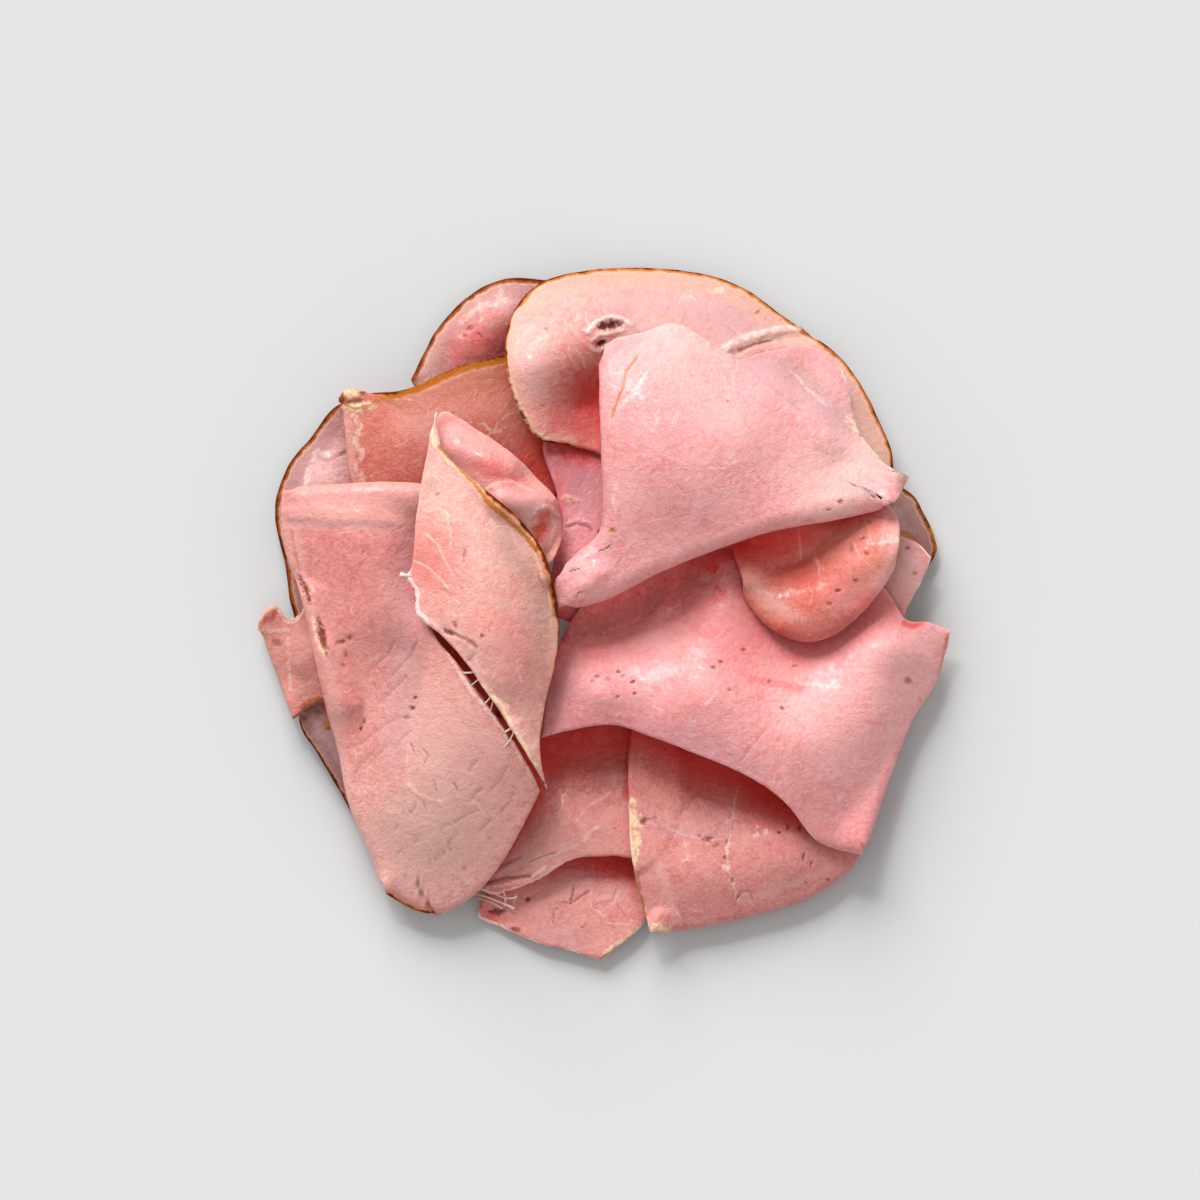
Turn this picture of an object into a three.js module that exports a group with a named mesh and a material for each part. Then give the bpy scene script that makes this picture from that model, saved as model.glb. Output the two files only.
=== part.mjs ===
// A portion of sliced smoked ham: thin round slices, folded and laid over each other in a loose heap.
// Millimetres, +Z up. The heap stands on z = 0, and the origin is under the middle of its outline.
// Each slice is a thin sheet. Its rim and a few heights are named below, and it takes the smoothest
// shape through them that still rests on the slices under it.
import * as THREE from "three";

// Driving dimensions
const SLICE_THICKNESS = 1.8;
const SLICE_GAP = 0.9; // air between two slices that lie on each other
const BLEND_HEIGHT = 2.0; // how softly a slice leaves what it rests on
const STEEPEST = 2.5; // rise over run beyond which the air gap is not widened further

// The height map on which the slices are stacked
const MAP_CELL = 1.5;
const MAP_HALF = 117;
const MAP_SIDE = Math.round((2 * MAP_HALF) / MAP_CELL) + 1;
const RIM_MARGIN = 2; // cells by which a slice still carries the next one outside its own rim
const RELAX_ROUNDS = 30; // how far a slice bridges the step at the rim of the one under it

// Fineness of the solids
const FACET = 6.2;
const FEWEST_FACETS = 8;
const CURL_STEPS = 4;
const STEEPEST_START = 60; // degrees by which a curl may have turned where the sheet goes over into it
const FLATTEST_START = -20;
const CURL_NEAR = 2; // a slice is lifted over its own curl up to this many radii from the rim
const CURL_FAR = 5; // and lies as it would without the curl from this many
const CURL_EASE = 9; // length of rim over which a curl starts, and ends again
const STRETCH_SAMPLES = 12; // samples of the rim curve between two of its points

// Colours of the meat, from the pale top slices to the greyer ones under them
const MEAT = { pale: 0xeeb5a4, pink: 0xe79a98, rose: 0xd98a8c, coral: 0xdf8878, mauve: 0xc99595 };

const CORNER = 1; // fourth value of a rim point at which the rim turns sharply

// The slices, from the lowest to the highest. A rim point is [x, y, height], a body point is a height
// inside the rim, a fold is a ridge (or with a negative height a furrow) between two points, a step is a
// line that the slice is higher or lower to the right of, and a curl turns the rim under between two of
// its points, counted from 0. Its turn is in degrees.
const SLICES = [
  {
    name: "lower_left_slice",
    meat: "mauve",
    centre: [-43, -34],
    rim: [
      [-92, -31, 7],
      [-86, -43, 6],
      [-78.5, -56, 5],
      [-71, -69.5, 4],
      [-62, -82, 1],
      [-42, -84, -3],
      [-22, -72, -4],
      [-12, -46, 0],
      [-30, -14, 5],
      [-60, -6, 6],
      [-84, -14, 6],
    ],
    body: [
      [-66, -45, 5],
      [-46, -62, -3],
      [-44, -34, 6],
    ],
  },
  {
    name: "left_slice",
    meat: "mauve",
    centre: [-68, 20],
    rim: [
      [-80, 63, 4],
      [-88.5, 53, 3.5],
      [-95, 45, 3],
      [-98.8, 35, 3],
      [-98.8, 26, 3],
      [-96, 14, 3],
      [-94, 1, 3],
      [-86, -16, 3],
      [-66, -24, 6],
      [-42, -8, 8],
      [-33, 22, 6],
      [-46, 54, -2],
      [-64, 66, -2],
    ],
    body: [
      [-84, 40, 9],
      [-80, 20, 10],
      [-60, 44, 0],
      [-58, 10, 11],
    ],
  },
  {
    name: "top_left_slice",
    meat: "mauve",
    centre: [-20, 72],
    rim: [
      [-58, 70.5, 6, CORNER],
      [-54.5, 78, 5],
      [-50, 86, 4],
      [-41.5, 95, 3.5],
      [-32, 100.3, 3],
      [-20, 100.8, 3],
      [2, 96, -3],
      [14, 70, -3],
      [2, 46, 6],
      [-24, 38, 8],
      [-48, 48, 6],
    ],
    body: [
      [-44, 82, 10],
      [-30, 90, 9],
      [-27, 76, 3],
      [-2, 78, -2],
      [-20, 56, 8],
    ],
  },
  {
    name: "right_back_slice",
    meat: "mauve",
    centre: [72, 22],
    rim: [
      [90, 38, 4],
      [96.5, 30, 3.5],
      [100.3, 21, 3.5],
      [99.5, 16.5, 4, CORNER],
      [90, 5, 2],
      [80, -9, -3],
      [60, -18, -3],
      [36, -4, 7],
      [36, 30, 11],
      [64, 50, 2],
    ],
    body: [
      [88, 22, 9],
      [72, 2, -2],
      [52, 18, 10],
    ],
  },
  {
    name: "bottom_tip_slice",
    meat: "rose",
    centre: [-12, -81],
    rim: [
      [-38, -92, 2.5],
      [-31, -95, 3],
      [-20.5, -99.5, 4],
      [-8.5, -102.5, 4],
      [-1, -104.6, 4, CORNER],
      [9, -97, 4.5, CORNER],
      [14, -90, 4],
      [17, -76, 0],
      [5, -62, -3],
      [-18, -66, -3],
      [-34, -82, 0],
    ],
    body: [[-6, -88, 5]],
  },
  {
    name: "side_curl_slice",
    meat: "pink",
    centre: [-91, -15],
    rim: [
      [-104.7, -3, 5],
      [-102, -10, 4],
      [-98, -20, 4],
      [-93.6, -32, 5, CORNER],
      [-87, -27.5, 9],
      [-76, -24, 9],
      [-68, -10, 8],
      [-76, 4, 10],
      [-89, 3, 11],
      [-94, -1.5, 8],
      [-100, 3, 8],
    ],
    body: [[-90, -14, 12]],
  },
  {
    name: "bottom_middle_slice",
    meat: "rose",
    centre: [-11, -44],
    rim: [
      [-37, -83.5, 8],
      [-28, -84, 9],
      [-17.5, -79.5, 10],
      [-8.5, -74, 11],
      [2, -73, 11],
      [12, -72, 10],
      [20, -52, 5],
      [12, -20, 4],
      [-14, -14, 6],
      [-36, -38, 6],
      [-44, -68, 6],
    ],
    body: [
      [-10, -64, 13],
      [-4, -46, 5],
      [-20, -44, 7],
    ],
  },
  {
    name: "right_flap_slice",
    meat: "rose",
    centre: [82, 13],
    rim: [
      [93, 22, 10],
      [99, 17, 11, CORNER],
      [96, 10, 11],
      [92, 3, 11],
      [89, -2, 10],
      [78, -2, 8],
      [72, 10, 8],
      [80, 24, 9],
    ],
    body: [[88, 12, 13]],
  },
  {
    name: "lower_right_slice",
    meat: "rose",
    centre: [42, -60],
    rim: [
      [8, -36, 8],
      [7.5, -62, 11],
      [9, -78, 12],
      [14, -96, 7, CORNER],
      [28, -94, 7],
      [44, -90.5, 7],
      [59, -86, 7],
      [71, -79, 7],
      [78, -71.5, 8, CORNER],
      [83, -52, 5],
      [74, -28, 4],
      [44, -10, 5],
      [16, -14, 6],
    ],
    body: [
      [28, -78, 13],
      [56, -73, 13],
      [30, -54, 5],
      [56, -54, 5],
    ],
    curls: [{ from: 3, to: 8, radius: 2.6, turn: 170 }],
  },
  {
    name: "upper_left_slice",
    meat: "coral",
    centre: [-46, 44],
    rim: [
      [-79, 66, 12, CORNER],
      [-70, 66.3, 14],
      [-59, 67.5, 16],
      [-48, 72.5, 16],
      [-37, 76, 15],
      [-22, 78, 12],
      [-12, 64, 9],
      [-12, 40, 9],
      [-34, 14, 10],
      [-66, 16, 10],
      [-75.5, 38, 14],
      [-77.5, 50, 14],
    ],
    body: [
      [-60, 50, 20],
      [-40, 52, 20],
    ],
  },
  {
    name: "centre_slice",
    meat: "pink",
    centre: [3, 26],
    rim: [
      [-18, 52, 16],
      [-14, 34, 18],
      [-15, 16, 20],
      [-18, 2, 16],
      [-2, -4, 10],
      [14, 4, 8],
      [20, 24, 8],
      [16, 46, 8],
      [-2, 58, 9],
    ],
    body: [
      [-8, 34, 17],
      [-7, 14, 23],
    ],
  },
  {
    name: "back_slice",
    meat: "pale",
    centre: [25, 70],
    rim: [
      [-10, 50.3, 17],
      [-20.5, 53, 22],
      [-27.5, 66, 24],
      [-29.7, 79, 22],
      [-27, 91, 14],
      [-18, 100, 9],
      [0, 103.8, 5],
      [23, 103.4, 4],
      [40.5, 98.8, 4],
      [56, 88.2, 4],
      [69, 79.2, 5],
      [77, 69.5, 6],
      [83, 57.5, 7],
      [87, 46.5, 9],
      [86, 34, 10],
      [84, 22, 12],
      [74, 16, 12],
      [56, 20, 12],
      [36, 26, 12],
      [14, 36, 12],
      [0, 47, 11],
    ],
    body: [
      [-21, 74, 26],
      [-4, 64, 12],
      [-2, 84, 22],
      [20, 88, 17],
      [48, 76, 17],
      [68, 54, 18],
      [26, 56, 22],
      [50, 40, 18],
    ],
    folds: [{ from: [44, 79], to: [70, 80], height: 1.5, width: 2.5 }],
  },
  {
    name: "right_front_slice",
    meat: "pink",
    centre: [40, -14],
    rim: [
      [-19, -37.5, 20, CORNER],
      [-7, -34.5, 21],
      [3, -33.5, 22],
      [14, -37, 23],
      [26, -41.5, 24],
      [42.5, -48.5, 24],
      [54.5, -57, 22],
      [64, -68.5, 16],
      [77.5, -72.5, 11, CORNER],
      [85, -50, 11],
      [92, -32, 10],
      [99, -21, 9],
      [102, -12, 9],
      [104.5, -5, 10, CORNER],
      [97, -2.5, 12],
      [90.5, -1.5, 14],
      [84, 8, 12],
      [66, 22, 8],
      [42, 28, 9],
      [22, 20, 9],
      [-3, 6, 8],
      [-15, -13, 12],
    ],
    body: [
      [39, 15, 19],
      [36, 0, 23],
      [8, -6, 13],
      [20, 4, 12],
      [-2, -24, 25],
      [28, -24, 29],
      [56, 6, 8],
      [60, -40, 27],
      [82, -32, 20],
      [60, -14, 17],
      [86, -10, 21],
    ],
    curls: [{ from: 8, to: 13, radius: 3, turn: 175 }],
  },
  {
    name: "tongue_slice",
    meat: "coral",
    centre: [63, 16],
    rim: [
      [40.5, 13, 21],
      [43.5, 4, 24],
      [50, -3.5, 24],
      [59, -7.5, 24],
      [68, -6, 24.5],
      [77, 1, 25],
      [85, 11.5, 25],
      [88.5, 21, 27],
      [86, 32, 20],
      [68, 42, 11],
      [48, 38, 10],
      [38, 26, 14],
    ],
    body: [
      [54, 6, 23],
      [64, 5, 26],
      [56, 18, 14],
      [76, 14, 27],
    ],
    curls: [{ from: 0, to: 7, radius: 3, turn: 100 }],
  },
  {
    name: "front_fold_slice",
    meat: "pink",
    centre: [34, 35],
    rim: [
      [0.5, 80, 30],
      [-0.5, 66, 36],
      [0, 48, 37],
      [0, 26, 34],
      [-8, 17, 30],
      [-14.5, 10, 27],
      [-14, 1.5, 26, CORNER],
      [0, 4.8, 30],
      [17, 13.3, 34],
      [35, 20.5, 36],
      [51, 25.6, 36],
      [68, 28.6, 34],
      [83, 32, 28],
      [87.5, 34, 22],
      [91.5, 41, 16, CORNER],
      [84.5, 45, 18],
      [78, 53, 17],
      [75, 61, 15],
      [73, 71, 14],
      [66, 80.5, 14, CORNER],
      [57, 81, 16],
      [47, 79, 18],
      [39.5, 77, 20],
      [30, 82.5, 20],
      [21.5, 87, 20],
      [12, 84.5, 23],
    ],
    body: [
      [12, 66, 40],
      [12, 45, 43],
      [26, 36, 42],
      [30, 60, 39],
      [50, 45, 36],
      [48, 64, 32],
      [58, 72, 18],
      [66, 52, 28],
      [72, 44, 26],
    ],
    folds: [{ from: [20, 84], to: [80, 44], height: 1.6, width: 4 }],
    curls: [
      { from: 0, to: 5, radius: 4, turn: 125 },
      { from: 6, to: 13, radius: 4.5, turn: 125 },
    ],
  },
  {
    name: "left_front_slice",
    meat: "rose",
    centre: [-64, -12],
    rim: [
      [-96.5, 37, 17, CORNER],
      [-80.5, 38, 22],
      [-62.5, 38.6, 24],
      [-50, 36, 22],
      [-46, 22, 20],
      [-48, 6, 24],
      [-51.3, -4.5, 32],
      [-42, -17, 36],
      [-32.5, -30, 36],
      [-25, -41.5, 33],
      [-19, -53, 27, CORNER],
      [-26.5, -68, 20],
      [-34, -79.5, 14],
      [-42, -87, 10],
      [-50, -91, 8, CORNER],
      [-58, -89, 8],
      [-65.5, -84.5, 8, CORNER],
      [-69, -74, 10],
      [-76, -57, 13],
      [-79, -42, 14],
      [-82.5, -29, 15],
      [-86.5, -11, 16],
      [-90.5, 6.5, 16],
      [-95, 19, 16],
      [-97, 29, 16],
    ],
    body: [
      [-80, 28, 24],
      [-64, 20, 26],
      [-74, -4, 23],
      [-60, -10, 24],
      [-66, -40, 20],
      [-44, -40, 31],
      [-50, -66, 20],
    ],
    steps: [{ from: [-50, -4], to: [-59, -50], height: -3.5, width: 1.6, reach: 16 }],
    curls: [
      { from: 0, to: 3, radius: 3.2, turn: 165 },
      { from: 16, to: 24, radius: 3.2, turn: 175 },
    ],
  },
  {
    name: "crumpled_slice",
    meat: "pale",
    centre: [-36, 37],
    rim: [
      [-48.5, 60.5, 26],
      [-37, 54.5, 27],
      [-27, 47.5, 28],
      [-20, 40.5, 28],
      [-14, 34, 28],
      [-12.2, 27, 27],
      [-13.5, 20, 26],
      [-18, 14, 25],
      [-32, 12, 24],
      [-48, 28, 26],
      [-51, 48, 27],
    ],
    body: [
      [-34, 42, 33],
      [-22, 28, 32],
    ],
    folds: [
      { from: [-44, 50], to: [-28, 44], height: 3, width: 4 },
      { from: [-30, 34], to: [-16, 34], height: 3.5, width: 4 },
    ],
  },
  {
    name: "pale_tongue_slice",
    meat: "pale",
    centre: [-50, 10],
    rim: [
      [-50, 61.5, 30, CORNER],
      [-53, 47.5, 32],
      [-56, 30, 34],
      [-57.5, 14, 34],
      [-62, 12.3, 33, CORNER],
      [-57.3, 7, 34],
      [-56, -1.5, 35],
      [-49, -6, 37],
      [-40.5, -15.5, 39],
      [-32, -28, 38],
      [-24, -40.5, 36],
      [-17, -52.5, 30, CORNER],
      [-19.3, -41, 30],
      [-17.7, -27.5, 30],
      [-14, -11, 29],
      [-14, 2.5, 28],
      [-17.7, 17.5, 30],
      [-25, 28, 32],
      [-36.5, 38, 34],
      [-47, 47.5, 33],
      [-49.5, 55, 31],
    ],
    body: [
      [-36, 8, 42],
      [-34, -8, 43],
      [-30, -20, 41],
      [-46, 26, 38],
    ],
  },
];

// Smooth maximum of two heights: the higher one, rounded where they cross.
function softMax(a, b, blend) {
  const overlap = Math.max(blend - Math.abs(a - b), 0);
  return Math.max(a, b) + (overlap * overlap) / (4 * blend);
}

function smoothStep(value, low, high) {
  const t = THREE.MathUtils.clamp((value - low) / (high - low), 0, 1);
  return t * t * (3 - 2 * t);
}

// The rim as a closed Catmull-Rom curve, with its corners kept sharp. It gives samples [x, y], the curve
// at any place along it from 0 to 1, and the place of each rim point.
function rimCurve(rim) {
  const count = rim.length;
  const point = (i) => rim[((i % count) + count) % count];
  const samples = [];
  for (let i = 0; i < count; i++) {
    const start = point(i);
    const end = point(i + 1);
    const before = start[3] === CORNER ? start : point(i - 1);
    const after = end[3] === CORNER ? end : point(i + 2);
    for (let s = 0; s < STRETCH_SAMPLES; s++) {
      const t = s / STRETCH_SAMPLES;
      const blend = (axis) => {
        const leave = (end[axis] - before[axis]) / 2;
        const arrive = (after[axis] - start[axis]) / 2;
        const rise = end[axis] - start[axis];
        return (
          start[axis] +
          t * (leave + t * (3 * rise - 2 * leave - arrive + t * (leave + arrive - 2 * rise)))
        );
      };
      samples.push([blend(0), blend(1)]);
    }
  }
  const lengths = [0];
  for (let i = 0; i < samples.length; i++) {
    const a = samples[i];
    const b = samples[(i + 1) % samples.length];
    lengths.push(lengths[i] + Math.hypot(b[0] - a[0], b[1] - a[1]));
  }
  const whole = lengths[samples.length];
  const at = (place) => {
    const target = (place - Math.floor(place)) * whole;
    let i = 0;
    while (lengths[i + 1] < target) {
      i++;
    }
    const part = (target - lengths[i]) / (lengths[i + 1] - lengths[i]);
    const a = samples[i];
    const b = samples[(i + 1) % samples.length];
    return [a[0] + (b[0] - a[0]) * part, a[1] + (b[1] - a[1]) * part];
  };
  const places = rim.map((_, i) => lengths[i * STRETCH_SAMPLES] / whole);
  return { samples, places, length: whole, at };
}

// The smoothest height field through the given [x, y, height] points: a thin-plate spline.
function smoothestHeights(points) {
  const kernel = (dx, dy) => {
    const squared = dx * dx + dy * dy;
    return squared > 0 ? squared * Math.log(squared) : 0;
  };
  const count = points.length;
  const size = count + 3;
  const rows = [];
  for (let i = 0; i < count; i++) {
    const [x, y, height] = points[i];
    rows.push([...points.map((p) => kernel(x - p[0], y - p[1])), 1, x, y, height]);
  }
  rows.push([...points.map(() => 1), 0, 0, 0, 0]);
  rows.push([...points.map((p) => p[0]), 0, 0, 0, 0]);
  rows.push([...points.map((p) => p[1]), 0, 0, 0, 0]);
  for (let column = 0; column < size; column++) {
    let pivot = column;
    for (let i = column + 1; i < size; i++) {
      if (Math.abs(rows[i][column]) > Math.abs(rows[pivot][column])) {
        pivot = i;
      }
    }
    [rows[column], rows[pivot]] = [rows[pivot], rows[column]];
    for (let i = 0; i < size; i++) {
      const factor = i === column ? 0 : rows[i][column] / rows[column][column];
      for (let j = column; factor !== 0 && j <= size; j++) {
        rows[i][j] -= factor * rows[column][j];
      }
    }
  }
  const weights = rows.map((row, i) => row[size] / row[i]);
  return (x, y) => {
    let height = weights[count] + weights[count + 1] * x + weights[count + 2] * y;
    for (let i = 0; i < count; i++) {
      height += weights[i] * kernel(x - points[i][0], y - points[i][1]);
    }
    return height;
  };
}

// Distance from (x, y) to the straight line between two points.
function distanceToLine(x, y, from, to) {
  const dx = to[0] - from[0];
  const dy = to[1] - from[1];
  const part = ((x - from[0]) * dx + (y - from[1]) * dy) / (dx * dx + dy * dy);
  const t = THREE.MathUtils.clamp(part, 0, 1);
  return Math.hypot(x - from[0] - t * dx, y - from[1] - t * dy);
}

// A step to the right of the straight line between two points. It levels out again over its reach.
function stepHeight(x, y, { from, to, height, width, reach }) {
  const length = Math.hypot(to[0] - from[0], to[1] - from[1]);
  const ahead = [(to[0] - from[0]) / length, (to[1] - from[1]) / length];
  const along = ((x - from[0]) * ahead[0] + (y - from[1]) * ahead[1]) / length;
  const aside = (x - from[0]) * ahead[1] - (y - from[1]) * ahead[0];
  if (along <= 0 || along >= 1) {
    return 0;
  }
  const share = Math.sin(Math.PI * along) ** 2;
  const fade = Math.exp(-((Math.max(aside, 0) / reach) ** 2));
  return height * share * smoothStep(aside, -width, width) * fade;
}

// The height that a slice would take on its own, from its rim, body, folds and steps.
function ownHeight(slice) {
  const heights = smoothestHeights([...slice.rim.map(([x, y, z]) => [x, y, z]), ...slice.body]);
  const folds = slice.folds ?? [];
  return (x, y) => {
    let height = heights(x, y);
    for (const fold of folds) {
      const across = distanceToLine(x, y, fold.from, fold.to) / fold.width;
      height += fold.height * Math.exp(-across * across);
    }
    for (const step of slice.steps ?? []) {
      height += stepHeight(x, y, step);
    }
    return height;
  };
}

function mapIndex(i, j) {
  return j * MAP_SIDE + i;
}

// The height map at any place, smoothed by a quadratic B-spline over 3 by 3 cells.
function sampleMap(map, x, y) {
  const u = THREE.MathUtils.clamp((x + MAP_HALF) / MAP_CELL, 1, MAP_SIDE - 2);
  const v = THREE.MathUtils.clamp((y + MAP_HALF) / MAP_CELL, 1, MAP_SIDE - 2);
  const i = Math.round(u);
  const j = Math.round(v);
  const weights = (f) => [(0.5 - f) ** 2 / 2, 0.75 - f * f, (0.5 + f) ** 2 / 2];
  const across = weights(u - i);
  const along = weights(v - j);
  let height = 0;
  for (let dj = -1; dj <= 1; dj++) {
    for (let di = -1; di <= 1; di++) {
      height += across[di + 1] * along[dj + 1] * map[mapIndex(i + di, j + dj)];
    }
  }
  return height;
}

// What a slice meets when it comes down on the ground map: the map with its steps bridged.
function bridged(ground) {
  let map = Float64Array.from(ground);
  for (let round = 0; round < RELAX_ROUNDS; round++) {
    const next = Float64Array.from(map);
    for (let j = 1; j < MAP_SIDE - 1; j++) {
      for (let i = 1; i < MAP_SIDE - 1; i++) {
        const k = mapIndex(i, j);
        const mean = (map[k - 1] + map[k + 1] + map[k - MAP_SIDE] + map[k + MAP_SIDE]) / 4;
        next[k] = Math.max(ground[k], mean);
      }
    }
    map = next;
  }
  return map;
}

function isInside(x, y, outline) {
  let inside = false;
  for (let i = 0, j = outline.length - 1; i < outline.length; j = i++) {
    const [xi, yi] = outline[i];
    const [xj, yj] = outline[j];
    if (yi > y !== yj > y && x < ((xj - xi) * (y - yi)) / (yj - yi) + xi) {
      inside = !inside;
    }
  }
  return inside;
}

// The area inside a closed outline, negative when it winds clockwise.
function outlineArea(outline) {
  let area = 0;
  for (let i = 0; i < outline.length; i++) {
    const [ax, ay] = outline[i];
    const [bx, by] = outline[(i + 1) % outline.length];
    area += (ax * by - bx * ay) / 2;
  }
  return area;
}

// The curl at a place along the rim, with how much of its full turn it has there, from 0 at its ends to 1.
function curlAt(curls, curve, place) {
  for (const { from, to, radius, turn } of curls) {
    const toEnd = Math.min(place - curve.places[from], curve.places[to] - place) * curve.length;
    if (toEnd > 0) {
      const fullTurn = THREE.MathUtils.degToRad(turn);
      return { share: smoothStep(toEnd, 0, CURL_EASE), radius, fullTurn };
    }
  }
  return { share: 0, radius: 0, fullTurn: 0 };
}

// A slice on the ground map: the rim curve, its height field, and the sheet's rim at any place along the
// curve, pulled in where it curls under, with the angles at which the curl starts and ends.
function layDown(slice, ground) {
  const curve = rimCurve(slice.rim);
  const own = ownHeight(slice);
  const support = bridged(ground);
  const step = 1 / curve.samples.length;
  const turned = outlineArea(curve.samples) > 0 ? 1 : -1;
  const outward = (place) => {
    const a = curve.at(place - step);
    const b = curve.at(place + step);
    const length = Math.hypot(b[0] - a[0], b[1] - a[1]);
    return [(turned * (b[1] - a[1])) / length, (turned * (a[0] - b[0])) / length];
  };
  const curled = [];
  for (let i = 0; i < curve.samples.length; i++) {
    const curl = curlAt(slice.curls ?? [], curve, i * step);
    if (curl.share > 0) {
      curled.push({ point: curve.at(i * step), ...curl });
    }
  }
  const curlDepth = (x, y) => {
    let depth = 0;
    for (const { point, share, radius, fullTurn } of curled) {
      const distance = Math.hypot(x - point[0], y - point[1]);
      const near = 1 - smoothStep(distance, CURL_NEAR * radius, CURL_FAR * radius);
      depth = Math.max(depth, near * share * radius * (1 - Math.cos(fullTurn)));
    }
    return depth;
  };
  const height = (x, y) => {
    return softMax(own(x, y), sampleMap(support, x, y) + curlDepth(x, y), BLEND_HEIGHT);
  };
  const rimAt = (place) => {
    const [x, y] = curve.at(place);
    const out = outward(place);
    const curl = curlAt(slice.curls ?? [], curve, place);
    const reach = curl.radius * curl.share;
    const [fullX, fullY] = [x - out[0] * reach, y - out[1] * reach];
    const fall = height(fullX - out[0], fullY - out[1]) - height(fullX, fullY);
    const slope = THREE.MathUtils.clamp(
      Math.atan(fall),
      THREE.MathUtils.degToRad(FLATTEST_START),
      THREE.MathUtils.degToRad(STEEPEST_START),
    );
    const start = slope * curl.share;
    const end = curl.fullTurn * curl.share;
    const inset = reach * (1 - Math.sin(start));
    return { point: [x - out[0] * inset, y - out[1] * inset], out, curl, start, end };
  };
  return { curve, turned, rimAt, height, hasCurl: curled.length > 0 };
}

// Raises the ground map to what this slice offers the next one.
function raiseGround(ground, laid) {
  const covered = new Uint8Array(ground.length);
  for (let j = 0; j < MAP_SIDE; j++) {
    for (let i = 0; i < MAP_SIDE; i++) {
      const x = i * MAP_CELL - MAP_HALF;
      const y = j * MAP_CELL - MAP_HALF;
      covered[mapIndex(i, j)] = isInside(x, y, laid.curve.samples) ? 1 : 0;
    }
  }
  const isCovered = (i, j) => {
    for (let dj = -RIM_MARGIN; dj <= RIM_MARGIN; dj++) {
      for (let di = -RIM_MARGIN; di <= RIM_MARGIN; di++) {
        if (covered[mapIndex(i + di, j + dj)]) {
          return true;
        }
      }
    }
    return false;
  };
  for (let j = RIM_MARGIN; j < MAP_SIDE - RIM_MARGIN; j++) {
    for (let i = RIM_MARGIN; i < MAP_SIDE - RIM_MARGIN; i++) {
      if (!isCovered(i, j)) {
        continue;
      }
      const x = i * MAP_CELL - MAP_HALF;
      const y = j * MAP_CELL - MAP_HALF;
      const slopeX = (laid.height(x + MAP_CELL, y) - laid.height(x - MAP_CELL, y)) / (2 * MAP_CELL);
      const slopeY = (laid.height(x, y + MAP_CELL) - laid.height(x, y - MAP_CELL)) / (2 * MAP_CELL);
      const slope = Math.min(Math.hypot(slopeX, slopeY), STEEPEST);
      const top = laid.height(x, y) + (SLICE_THICKNESS + SLICE_GAP) * Math.hypot(1, slope);
      const k = mapIndex(i, j);
      ground[k] = Math.max(ground[k], top);
    }
  }
}

// A place in the square from -1 to 1 taken to a disc: how far out it lies and the place along the rim.
function discPlace(a, b) {
  const radius = Math.max(Math.abs(a), Math.abs(b));
  if (radius === 0) {
    return [0, 0];
  }
  const eighth = Math.PI / 4;
  let angle = 0;
  if (Math.abs(a) >= Math.abs(b)) {
    angle = eighth * (b / a) + (a < 0 ? 4 * eighth : 0);
  } else {
    angle = 2 * eighth - eighth * (a / b) + (b < 0 ? 4 * eighth : 0);
  }
  const place = angle / (8 * eighth);
  return [radius, place - Math.floor(place)];
}

// The middle surface of a slice: its points, its triangles and the loop of points along its edge.
function middleSurface(slice, laid) {
  const area = Math.abs(outlineArea(laid.curve.samples));
  const side = Math.max(FEWEST_FACETS, Math.round(Math.sqrt(area) / FACET));
  const corners = slice.rim.map((point, i) => [point, laid.curve.places[i]]);
  const sharp = corners.filter(([point]) => point[3] === CORNER).map(([, place]) => place);
  const start = sharp.length > 0 ? sharp[0] : 0;
  const snapped = snapPlaces(sharp, start, 4 * side, laid.turned);
  const points = [];
  const ids = [];
  for (let j = 0; j <= side; j++) {
    for (let i = 0; i <= side; i++) {
      const [radius, place] = discPlace((2 * i) / side - 1, (2 * j) / side - 1);
      const [rx, ry] = laid.rimAt(snapped(place)).point;
      const x = slice.centre[0] + (rx - slice.centre[0]) * radius;
      const y = slice.centre[1] + (ry - slice.centre[1]) * radius;
      ids.push(points.length);
      points.push(new THREE.Vector3(x, y, laid.height(x, y)));
    }
  }
  const id = (i, j) => ids[j * (side + 1) + i];
  const triangles = [];
  for (let j = 0; j < side; j++) {
    for (let i = 0; i < side; i++) {
      addQuad(triangles, points, id(i, j), id(i + 1, j), id(i + 1, j + 1), id(i, j + 1));
    }
  }
  const edge = [];
  for (let i = side; i > 0; i--) {
    edge.push([i, side]);
  }
  for (let j = side; j > 0; j--) {
    edge.push([0, j]);
  }
  for (let i = 0; i < side; i++) {
    edge.push([i, 0]);
  }
  for (let j = 0; j < side; j++) {
    edge.push([side, j]);
  }
  const rimNodes = edge.map(([i, j]) => {
    const [, place] = discPlace((2 * i) / side - 1, (2 * j) / side - 1);
    return { id: id(i, j), place: snapped(place) };
  });
  const flat = rimNodes.map((node) => node.id);
  const loop = laid.hasCurl ? addCurl(points, triangles, rimNodes, laid) : flat;
  return { points, triangles, loop };
}

// Even places along the rim, shifted so that one of the grid's edge nodes meets each corner of the rim.
function snapPlaces(sharp, start, nodes, turned) {
  const knots = [[0, 0]];
  for (const place of sharp) {
    const along = (turned * (place - start) + 2) % 1;
    const node = Math.round(along * nodes) / nodes;
    if (node > 0 && node < 1) {
      knots.push([node, along]);
    }
  }
  knots.push([1, 1]);
  knots.sort((a, b) => a[0] - b[0]);
  return (place) => {
    let k = 0;
    while (k < knots.length - 2 && knots[k + 1][0] <= place) {
      k++;
    }
    const [fromNode, fromPlace] = knots[k];
    const [toNode, toPlace] = knots[k + 1];
    const part = (place - fromNode) / (toNode - fromNode);
    const along = fromPlace + (toPlace - fromPlace) * part;
    return (((start + turned * along) % 1) + 1) % 1;
  };
}

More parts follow.
